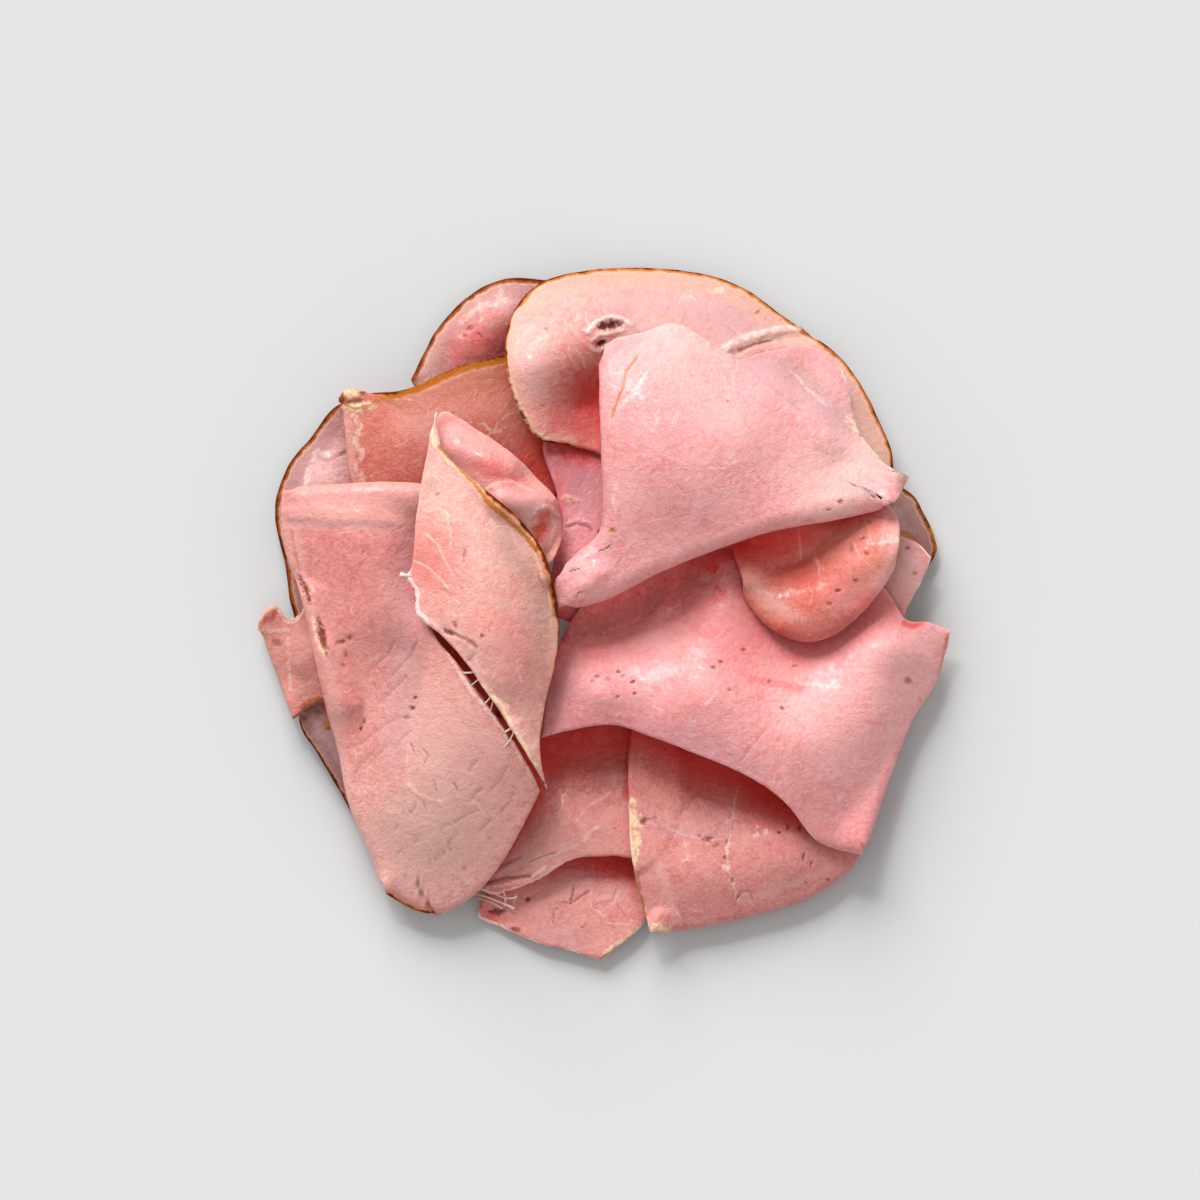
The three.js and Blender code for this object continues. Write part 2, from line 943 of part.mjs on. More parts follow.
// Two triangles for a quad, split along its shorter diagonal.
function addQuad(triangles, points, a, b, c, d) {
  if (points[a].distanceTo(points[c]) < points[b].distanceTo(points[d])) {
    triangles.push([a, b, c], [a, c, d]);
  } else {
    triangles.push([a, b, d], [b, c, d]);
  }
}

// Rows of points that roll the rim under along a curl. Returns the new loop of points along the edge.
function addCurl(points, triangles, rimNodes, laid) {
  const rows = rimNodes.map((node) => {
    const { out, curl, start, end } = laid.rimAt(node.place);
    if (curl.share === 0) {
      return null;
    }
    const base = points[node.id];
    const row = [node.id];
    for (let s = 1; s <= CURL_STEPS; s++) {
      const turn = start + ((end - start) * s) / CURL_STEPS;
      const across = curl.radius * curl.share * (Math.sin(turn) - Math.sin(start));
      const drop = curl.radius * (Math.cos(start) - Math.cos(turn));
      row.push(points.length);
      points.push(
        new THREE.Vector3(base.x + out[0] * across, base.y + out[1] * across, base.z - drop),
      );
    }
    return row;
  });
  const pointOf = (k, s) => (rows[k] ? rows[k][s] : rimNodes[k].id);
  for (let k = 0; k < rimNodes.length; k++) {
    const next = (k + 1) % rimNodes.length;
    if (!rows[k] && !rows[next]) {
      continue;
    }
    for (let s = 0; s < CURL_STEPS; s++) {
      const ring = [pointOf(k, s), pointOf(k, s + 1), pointOf(next, s + 1), pointOf(next, s)];
      const corners = ring.filter((value, i) => value !== ring[(i + 3) % 4]);
      if (corners.length === 4) {
        addQuad(triangles, points, ...ring);
      } else if (corners.length === 3) {
        triangles.push(corners);
      }
    }
  }
  return rimNodes.map((node, k) => pointOf(k, CURL_STEPS));
}

// The closed solid of a slice: its middle surface thickened to both sides.
function thicken({ points, triangles, loop }) {
  const normals = points.map(() => new THREE.Vector3());
  for (const [a, b, c] of triangles) {
    const side = points[b].clone().sub(points[a]);
    const face = side.cross(points[c].clone().sub(points[a]));
    for (const k of [a, b, c]) {
      normals[k].add(face);
    }
  }
  const positions = [];
  for (const half of [SLICE_THICKNESS / 2, -SLICE_THICKNESS / 2]) {
    points.forEach((point, k) => {
      const moved = point.clone().addScaledVector(normals[k].clone().normalize(), half);
      positions.push(moved.x, moved.y, moved.z);
    });
  }
  const below = points.length;
  const index = [];
  for (const [a, b, c] of triangles) {
    index.push(a, b, c, below + a, below + c, below + b);
  }
  for (let k = 0; k < loop.length; k++) {
    const a = loop[k];
    const b = loop[(k + 1) % loop.length];
    index.push(a, below + b, b, a, below + a, below + b);
  }
  const geometry = new THREE.BufferGeometry();
  geometry.setAttribute("position", new THREE.Float32BufferAttribute(positions, 3));
  geometry.setIndex(index);
  geometry.computeVertexNormals();
  return geometry;
}

const heap = new THREE.Group();
const ground = new Float64Array(MAP_SIDE * MAP_SIDE).fill(SLICE_THICKNESS / 2);
for (const slice of SLICES) {
  const laid = layDown(slice, ground);
  const material = new THREE.MeshStandardMaterial({
    color: MEAT[slice.meat],
    roughness: 0.45,
    metalness: 0,
  });
  const mesh = new THREE.Mesh(thicken(middleSurface(slice, laid)), material);
  mesh.name = slice.name;
  heap.add(mesh);
  raiseGround(ground, laid);
}

export default heap;
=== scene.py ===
"""A heap of sliced smoked ham: thin moist slices, folded and laid over each other, seen from above.

Sizes are in millimetres up to the moment that a mesh gets its points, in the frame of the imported
model: +Z up, the heap standing on z = 0, its middle over the origin. Each slice is laid on the ones
under it by the same rules, and from the same rim and body points, as in the solid model.
"""
import logging
import math
from collections.abc import Mapping, Sequence
from dataclasses import dataclass
from enum import Enum
from typing import Any

import bpy
import numpy as np
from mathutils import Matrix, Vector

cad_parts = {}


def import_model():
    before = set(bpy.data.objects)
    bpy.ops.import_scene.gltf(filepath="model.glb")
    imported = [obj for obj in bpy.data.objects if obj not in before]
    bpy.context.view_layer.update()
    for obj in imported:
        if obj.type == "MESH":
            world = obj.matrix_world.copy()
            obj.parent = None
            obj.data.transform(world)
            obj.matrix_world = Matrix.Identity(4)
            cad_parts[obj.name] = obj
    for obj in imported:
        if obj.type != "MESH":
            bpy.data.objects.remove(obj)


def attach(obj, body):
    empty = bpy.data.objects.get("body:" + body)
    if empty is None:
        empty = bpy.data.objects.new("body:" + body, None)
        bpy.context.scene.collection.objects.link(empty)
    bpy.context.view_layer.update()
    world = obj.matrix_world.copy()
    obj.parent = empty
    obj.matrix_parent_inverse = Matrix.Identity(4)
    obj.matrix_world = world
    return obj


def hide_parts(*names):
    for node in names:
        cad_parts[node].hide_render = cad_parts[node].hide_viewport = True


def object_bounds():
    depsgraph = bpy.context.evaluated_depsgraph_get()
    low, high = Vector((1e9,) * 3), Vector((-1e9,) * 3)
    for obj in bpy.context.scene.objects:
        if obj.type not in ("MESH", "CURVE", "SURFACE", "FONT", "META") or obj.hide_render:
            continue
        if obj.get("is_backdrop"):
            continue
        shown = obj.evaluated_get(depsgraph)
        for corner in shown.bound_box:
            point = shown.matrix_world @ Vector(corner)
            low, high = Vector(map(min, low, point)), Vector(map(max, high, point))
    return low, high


LOG = logging.getLogger("ham")
METRE = 0.001  # one millimetre, in metres
CORNER = 1  # fourth value of a rim point at which the rim turns sharply

# Driving dimensions, as in the solid model
SLICE_THICKNESS = 1.8
SLICE_GAP = 0.9  # room left between two slices
BLEND_HEIGHT = 2.0  # over which a slice passes from its own height to what it rests on
STEEPEST = 2.5  # slope up to which a steep slice takes more room upwards
CURL_NEAR, CURL_FAR = 2, 5  # in curl radii: how far from a curl the sheet is raised
CURL_EASE = 9  # length of rim over which a curl starts and ends
STEEPEST_START, FLATTEST_START = 60, -20  # degrees by which a curl may start to fall
MAP_CELL = 1.5
MAP_HALF = 117
MAP_SIDE = round(2 * MAP_HALF / MAP_CELL) + 1
RIM_MARGIN = 2  # cells round a slice that it raises too
RELAX_ROUNDS = 30
STRETCH_SAMPLES = 12  # along the curve between two rim points

# Fineness of the dressed slices
CELL = 0.52
MOST_CELLS = 216  # along a side of a slice's grid
COARSE = 4  # cells of the fine grid along a cell of the grid that is relaxed
RELAX_STEPS = 260
SQUARE_CORNER = 1 / 8  # place round a square's edge at which its first corner lies

RIM_ZONE = 0.9  # share of the way to the rim from which the grid follows the ragged rim
TINY = 1e-12  # keeps a division by nothing finite

# Noise: the factors of its hash, and how far apart the slices lie in it
HASH_X, HASH_Y, HASH_SEED, HASH_SCALE = 127.1, 311.7, 74.7, 43758.5453
NOISE_SHIFT = 7.3

# Relief of the dressed slices: height of each wave, lump and grain, and how far apart they lie
RIPPLE_HEIGHT, RIPPLE_SIZE = 0.35, 14
LUMP_HEIGHT, LUMP_SIZE = 0.10, 4.5
GRAIN_HEIGHT, GRAIN_SIZE = 0.06, 1.6
RIM_ROUND = 0.9  # width of the rim over which the slice gets thinner
THINNEST = 0.35  # share of the thickness that is left at the rim itself
NO_RIM = 0.01  # stored where a kind of rim isn't, since the finish divides by it

# Ragged rims and marks: how far rims stay inside their curve, and how stretches and marks end
WAVE_SIZE, NICK_SIZE = 5, 1.7
CUT_INSET, TORN_INSET = 0.25, 0.8
TORN_FADE, STRETCH_FADE = 4, 3
FRAY, FRAY_SIZE = 0.3, 2.4
BANK = (0.3, 0.75)  # how near the middle of a mark its bank starts and ends

# Settings that many nodes share
SMOOTH = {"interpolation_type": "SMOOTHSTEP"}
TIMES = {"operation": "MULTIPLY", "use_clamp": True}
RGBA = {"data_type": "RGBA"}

# How the hollows between the slices are felt out, for the shade painted into their colour
HOLLOW_CELL = 1.0
HOLLOW_WAYS = 12
HOLLOW_REACHES = (4.5, 7.0, 11.0, 15.0, 20.0, 27.0)
HOLLOW_SLACK = 0.6  # rise that the grain of a slice alone can make
HOLLOW_LEAN = 0.6  # how much more the far side counts, from which the light comes

Array = np.ndarray
Pair = tuple[float, float]


class Tone(Enum):
    """What a patch does to the meat. The value is the name of the attribute that carries it."""

    # painted light: a pale cream laid on sides that should catch more light, and as broad highlights
    PAINTED_LIGHT = "painted_light"
    # pale meat and fat, and painted light on lit fold tops and sides turned to the light
    PALE_AND_PAINTED_LIGHT = "pale"
    # lilac-grey meat, and a painted wet sheen
    LILAC_AND_PAINTED_SHEEN = "lilac_and_painted_sheen"
    # deep red meat, painted mostly as red shade in hollows, creases and under overhangs
    RED = "red"
    # smoke-grey meat, and painted shade in crevices and on sides turned away from the light
    GREY_AND_PAINTED_SHADE = "grey"
    FAT = "fat"
    # white veins, fat and torn edges, and some painted wet highlights
    WHITE = "white"
    BARK = "bark"
    BROWN = "brown"
    # dark holes and cracks, and broad painted shade under overhangs
    DARK = "dark"


PAINTED_LIGHT, PALE_AND_PAINTED_LIGHT, LILAC_AND_PAINTED_SHEEN, RED, GREY_AND_PAINTED_SHADE, FAT, WHITE, BARK, BROWN, DARK = Tone
TONE_COLOURS: dict[Tone, str] = {
    PAINTED_LIGHT: "#f2d3c9",
    PALE_AND_PAINTED_LIGHT: "#dcaba4",
    LILAC_AND_PAINTED_SHEEN: "#bb9296",
    RED: "#dc3b30",
    GREY_AND_PAINTED_SHADE: "#a28479",
    FAT: "#e7cfa8",
    WHITE: "#e9cdc4",
    BARK: "#b56a1d",
    BROWN: "#7c3722",
    DARK: "#52100d",
}
SOFT_TONES = (PAINTED_LIGHT, PALE_AND_PAINTED_LIGHT, LILAC_AND_PAINTED_SHEEN, RED, GREY_AND_PAINTED_SHADE)
SHARP_TONES = (FAT, WHITE, BARK, BROWN, DARK)
BROKEN_TONES = (FAT, WHITE)


class Rim(Enum):
    """How a stretch of rim looks."""

    RIND = "rind"
    FAT = "fat_rim"
    TORN = "torn"


@dataclass(frozen=True)
class Fold:
    """A ridge between two points, or with a negative height a furrow."""

    start: Pair
    end: Pair
    height: float
    width: float


@dataclass(frozen=True)
class Step:
    """A line that the slice is higher or lower to the right of."""

    start: Pair
    end: Pair
    height: float
    width: float
    reach: float


@dataclass(frozen=True)
class Curl:
    """A stretch of rim, between two of its points, that rolls under."""

    first: int
    last: int
    radius: float
    turn: float


@dataclass(frozen=True)
class SliceForm:
    """The rim, the heights inside it, and the folds of one slice."""

    name: str
    centre: Pair
    rim: tuple[tuple[float, ...], ...]
    body: tuple[tuple[float, float, float], ...]
    folds: tuple[Fold, ...] = ()
    steps: tuple[Step, ...] = ()
    curls: tuple[Curl, ...] = ()


SLICES: tuple[SliceForm, ...] = (
    SliceForm(
        name="lower_left_slice",
        centre=(-43, -34),
        rim=(
            (-92, -31, 7), (-86, -43, 6), (-78.5, -56, 5), (-71, -69.5, 4), (-62, -82, 1),
            (-42, -84, -3), (-22, -72, -4), (-12, -46, 0), (-30, -14, 5), (-60, -6, 6),
            (-84, -14, 6),
        ),
        body=(
            (-66, -45, 5), (-46, -62, -3), (-44, -34, 6),
        ),
    ),
    SliceForm(
        name="left_slice",
        centre=(-68, 20),
        rim=(
            (-80, 63, 4), (-88.5, 53, 3.5), (-95, 45, 3), (-98.8, 35, 3), (-98.8, 26, 3),
            (-96, 14, 3), (-94, 1, 3), (-86, -16, 3), (-66, -24, 6), (-42, -8, 8), (-33, 22, 6),
            (-46, 54, -2), (-64, 66, -2),
        ),
        body=(
            (-84, 40, 9), (-80, 20, 10), (-60, 44, 0), (-58, 10, 11),
        ),
    ),
    SliceForm(
        name="top_left_slice",
        centre=(-20, 72),
        rim=(
            (-58, 70.5, 6, CORNER), (-54.5, 78, 5), (-50, 86, 4), (-41.5, 95, 3.5), (-32, 100.3, 3),
            (-20, 100.8, 3), (2, 96, -3), (14, 70, -3), (2, 46, 6), (-24, 38, 8), (-48, 48, 6),
        ),
        body=(
            (-44, 82, 10), (-30, 90, 9), (-27, 76, 3), (-2, 78, -2), (-20, 56, 8),
        ),
    ),
    SliceForm(
        name="right_back_slice",
        centre=(72, 22),
        rim=(
            (90, 38, 4), (96.5, 30, 3.5), (100.3, 21, 3.5), (99.5, 16.5, 4, CORNER), (90, 5, 2),
            (80, -9, -3), (60, -18, -3), (36, -4, 7), (36, 30, 11), (64, 50, 2),
        ),
        body=(
            (88, 22, 9), (72, 2, -2), (52, 18, 10),
        ),
    ),
    SliceForm(
        name="bottom_tip_slice",
        centre=(-12, -81),
        rim=(
            (-38, -92, 2.5), (-31, -95, 3), (-20.5, -99.5, 4), (-8.5, -102.5, 4),
            (-1, -104.6, 4, CORNER), (9, -97, 4.5, CORNER), (14, -90, 4), (17, -76, 0),
            (5, -62, -3), (-18, -66, -3), (-34, -82, 0),
        ),
        body=(
            (-6, -88, 5),
        ),
    ),
    SliceForm(
        name="side_curl_slice",
        centre=(-91, -15),
        rim=(
            (-104.7, -3, 5), (-102, -10, 4), (-98, -20, 4), (-93.6, -32, 5, CORNER),
            (-87, -27.5, 9), (-76, -24, 9), (-68, -10, 8), (-76, 4, 10), (-89, 3, 11),
            (-94, -1.5, 8), (-100, 3, 8),
        ),
        body=(
            (-90, -14, 12),
        ),
    ),
    SliceForm(
        name="bottom_middle_slice",
        centre=(-11, -44),
        rim=(
            (-37, -83.5, 8), (-28, -84, 9), (-17.5, -79.5, 10), (-8.5, -74, 11), (2, -73, 11),
            (12, -72, 10), (20, -52, 5), (12, -20, 4), (-14, -14, 6), (-36, -38, 6), (-44, -68, 6),
        ),
        body=(
            (-10, -64, 13), (-4, -46, 5), (-20, -44, 7),
        ),
    ),
    SliceForm(
        name="right_flap_slice",
        centre=(82, 13),
        rim=(
            (93, 22, 10), (99, 17, 11, CORNER), (96, 10, 11), (92, 3, 11), (89, -2, 10),
            (78, -2, 8), (72, 10, 8), (80, 24, 9),
        ),
        body=(
            (88, 12, 13),
        ),
    ),
    SliceForm(
        name="lower_right_slice",
        centre=(42, -60),
        rim=(
            (8, -36, 8), (7.5, -62, 11), (9, -78, 12), (14, -96, 7, CORNER), (28, -94, 7),
            (44, -90.5, 7), (59, -86, 7), (71, -79, 7), (78, -71.5, 8, CORNER), (83, -52, 5),
            (74, -28, 4), (44, -10, 5), (16, -14, 6),
        ),
        body=(
            (28, -78, 13), (56, -73, 13), (30, -54, 5), (56, -54, 5),
        ),
        curls=(Curl(3, 8, 2.6, 170),),
    ),
    SliceForm(
        name="upper_left_slice",
        centre=(-46, 44),
        rim=(
            (-79, 66, 12, CORNER), (-70, 66.3, 14), (-59, 67.5, 16), (-48, 72.5, 16), (-37, 76, 15),
            (-22, 78, 12), (-12, 64, 9), (-12, 40, 9), (-34, 14, 10), (-66, 16, 10),
            (-75.5, 38, 14), (-77.5, 50, 14),
        ),
        body=(
            (-60, 50, 20), (-40, 52, 20),
        ),
    ),
    SliceForm(
        name="centre_slice",
        centre=(3, 26),
        rim=(
            (-18, 52, 16), (-14, 34, 18), (-15, 16, 20), (-18, 2, 16), (-2, -4, 10), (14, 4, 8),
            (20, 24, 8), (16, 46, 8), (-2, 58, 9),
        ),
        body=(
            (-8, 34, 17), (-7, 14, 23),
        ),
    ),
    SliceForm(
        name="back_slice",
        centre=(25, 70),
        rim=(
            (-10, 50.3, 17), (-20.5, 53, 22), (-27.5, 66, 24), (-29.7, 79, 22), (-27, 91, 14),
            (-18, 100, 9), (0, 103.8, 5), (23, 103.4, 4), (40.5, 98.8, 4), (56, 88.2, 4),
            (69, 79.2, 5), (77, 69.5, 6), (83, 57.5, 7), (87, 46.5, 9), (86, 34, 10), (84, 22, 12),
            (74, 16, 12), (56, 20, 12), (36, 26, 12), (14, 36, 12), (0, 47, 11),
        ),
        body=(
            (-21, 74, 26), (-4, 64, 12), (-2, 84, 22), (20, 88, 17), (48, 76, 17), (68, 54, 18),
            (26, 56, 22), (50, 40, 18),
        ),
        folds=(
            Fold((44, 79), (70, 80), 1.5, 2.5),
        ),
    ),
    SliceForm(
        name="right_front_slice",
        centre=(40, -14),
        rim=(
            (-19, -37.5, 20, CORNER), (-7, -34.5, 21), (3, -33.5, 22), (14, -37, 23),
            (26, -41.5, 24), (42.5, -48.5, 24), (54.5, -57, 22), (64, -68.5, 16),
            (77.5, -72.5, 11, CORNER), (85, -50, 11), (92, -32, 10), (99, -21, 9), (102, -12, 9),
            (104.5, -5, 10, CORNER), (97, -2.5, 12), (90.5, -1.5, 14), (84, 8, 12), (66, 22, 8),
            (42, 28, 9), (22, 20, 9), (-3, 6, 8), (-15, -13, 12),
        ),
        body=(
            (39, 15, 19), (36, 0, 23), (8, -6, 13), (20, 4, 12), (-2, -24, 25), (28, -24, 29),
            (56, 6, 8), (60, -40, 27), (82, -32, 20), (60, -14, 17), (86, -10, 21),
        ),
        curls=(Curl(8, 13, 3, 175),),
    ),
    SliceForm(
        name="tongue_slice",
        centre=(63, 16),
        rim=(
            (40.5, 13, 21), (43.5, 4, 24), (50, -3.5, 24), (59, -7.5, 24), (68, -6, 24.5),
            (77, 1, 25), (85, 11.5, 25), (88.5, 21, 27), (86, 32, 20), (68, 42, 11), (48, 38, 10),
            (38, 26, 14),
        ),
        body=(
            (54, 6, 23), (64, 5, 26), (56, 18, 14), (76, 14, 27),
        ),
        curls=(Curl(0, 7, 3, 100),),
    ),
    SliceForm(
        name="front_fold_slice",
        centre=(34, 35),
        rim=(
            (0.5, 80, 30), (-0.5, 66, 36), (0, 48, 37), (0, 26, 34), (-8, 17, 30), (-14.5, 10, 27),
            (-14, 1.5, 26, CORNER), (0, 4.8, 30), (17, 13.3, 34), (35, 20.5, 36), (51, 25.6, 36),
            (68, 28.6, 34), (83, 32, 28), (87.5, 34, 22), (91.5, 41, 16, CORNER), (84.5, 45, 18),
            (78, 53, 17), (75, 61, 15), (73, 71, 14), (66, 80.5, 14, CORNER), (57, 81, 16),
            (47, 79, 18), (39.5, 77, 20), (30, 82.5, 20), (21.5, 87, 20), (12, 84.5, 23),
        ),
        body=(
            (12, 66, 40), (12, 45, 43), (26, 36, 42), (30, 60, 39), (50, 45, 36), (48, 64, 32),
            (58, 72, 18), (66, 52, 28), (72, 44, 26),
        ),
        folds=(
            Fold((20, 84), (80, 44), 1.6, 4),
        ),
        curls=(Curl(0, 5, 4, 125), Curl(6, 13, 4.5, 125)),
    ),
    SliceForm(
        name="left_front_slice",
        centre=(-64, -12),
        rim=(
            (-96.5, 37, 17, CORNER), (-80.5, 38, 22), (-62.5, 38.6, 24), (-50, 36, 22),
            (-46, 22, 20), (-48, 6, 24), (-51.3, -4.5, 32), (-42, -17, 36), (-32.5, -30, 36),
            (-25, -41.5, 33), (-19, -53, 27, CORNER), (-26.5, -68, 20), (-34, -79.5, 14),
            (-42, -87, 10), (-50, -91, 8, CORNER), (-58, -89, 8), (-65.5, -84.5, 8, CORNER),
            (-69, -74, 10), (-76, -57, 13), (-79, -42, 14), (-82.5, -29, 15), (-86.5, -11, 16),
            (-90.5, 6.5, 16), (-95, 19, 16), (-97, 29, 16),
        ),
        body=(
            (-80, 28, 24), (-64, 20, 26), (-74, -4, 23), (-60, -10, 24), (-66, -40, 20),
            (-44, -40, 31), (-50, -66, 20),
        ),
        steps=(
            Step((-50, -4), (-59, -50), -3.5, 1.6, 16),
        ),
        curls=(Curl(0, 3, 3.2, 165), Curl(16, 24, 3.2, 175)),
    ),
    SliceForm(
        name="crumpled_slice",
        centre=(-36, 37),
        rim=(
            (-48.5, 60.5, 26), (-37, 54.5, 27), (-27, 47.5, 28), (-20, 40.5, 28), (-14, 34, 28),
            (-12.2, 27, 27), (-13.5, 20, 26), (-18, 14, 25), (-32, 12, 24), (-48, 28, 26),
            (-51, 48, 27),
        ),
        body=(
            (-34, 42, 33), (-22, 28, 32),
        ),
        folds=(
            Fold((-44, 50), (-28, 44), 3, 4),
            Fold((-30, 34), (-16, 34), 3.5, 4),
        ),
    ),
    SliceForm(
        name="pale_tongue_slice",
        centre=(-50, 10),
        rim=(
            (-50, 61.5, 30, CORNER), (-53, 47.5, 32), (-56, 30, 34), (-57.5, 14, 34),
            (-62, 12.3, 33, CORNER), (-57.3, 7, 34), (-56, -1.5, 35), (-49, -6, 37),
            (-40.5, -15.5, 39), (-32, -28, 38), (-24, -40.5, 36), (-17, -52.5, 30, CORNER),
            (-19.3, -41, 30), (-17.7, -27.5, 30), (-14, -11, 29), (-14, 2.5, 28), (-17.7, 17.5, 30),
            (-25, 28, 32), (-36.5, 38, 34), (-47, 47.5, 33), (-49.5, 55, 31),
        ),
        body=(
            (-36, 8, 42), (-34, -8, 43), (-30, -20, 41), (-46, 26, 38),
        ),
    ),
)


@dataclass(frozen=True)
class Edge:
    """A stretch of rim from one rim point to another, its kind and how wide or strong it is."""

    first: float
    last: float
    kind: Rim
    amount: float = 1.0


@dataclass(frozen=True)
class Line:
    """A crack, seam or streak along a few points: its tone, half width, strength and depth.

    Where the depth is negative, the mark stands out of the meat.
    """

    tone: Tone
    width: float
    amount: float
    depth: float
    points: tuple[Pair, ...]


@dataclass(frozen=True)
class Spot:
    """A round or long patch: tone, middle, half length, half width, turn in degrees and depth."""

    tone: Tone
    x: float
    y: float
    length: float
    width: float
    turn: float
    amount: float = 1.0
    depth: float = 0.0


def lines(tone: Tone, *rows: tuple[float, ...]) -> list[Line]:
    """Lines of one tone.

    Args:
        tone: What the lines do to the meat.
        rows: For each line its half width, strength and depth, and then x and y of each point.

    Returns:
        The lines.
    """
    return [Line(tone, *row[:3], tuple(zip(row[3::2], row[4::2]))) for row in rows]


def spots(tone: Tone, *rows: tuple[float, ...]) -> list[Spot]:
    """Spots of one tone.

    Args:
        tone: What the spots do to the meat.
        rows: For each spot its middle, half length, half width and turn, and then its strength
            and depth, which are 1 and 0 where they are left out.

    Returns:
        The spots.
    """
    return [Spot(tone, *row) for row in rows]


@dataclass(frozen=True)
class Thread:
    """A thread of meat across a tear: the points it runs through, each with a height."""

    points: tuple[tuple[float, float, float], ...]
    width: float = 0.3


@dataclass(frozen=True)
class Dress:
    """What a slice shows besides its form: its finish, rims, lines, spots and threads.

    The tint is laid over all its colours, and shade says how red its hollows get.
    """

    finish: str
    edges: tuple[Edge, ...] = ()
    marks: tuple[Line | Spot, ...] = ()
    threads: tuple[Thread, ...] = ()
    tint: str = "#ffffff"
    shade: float = 1.0
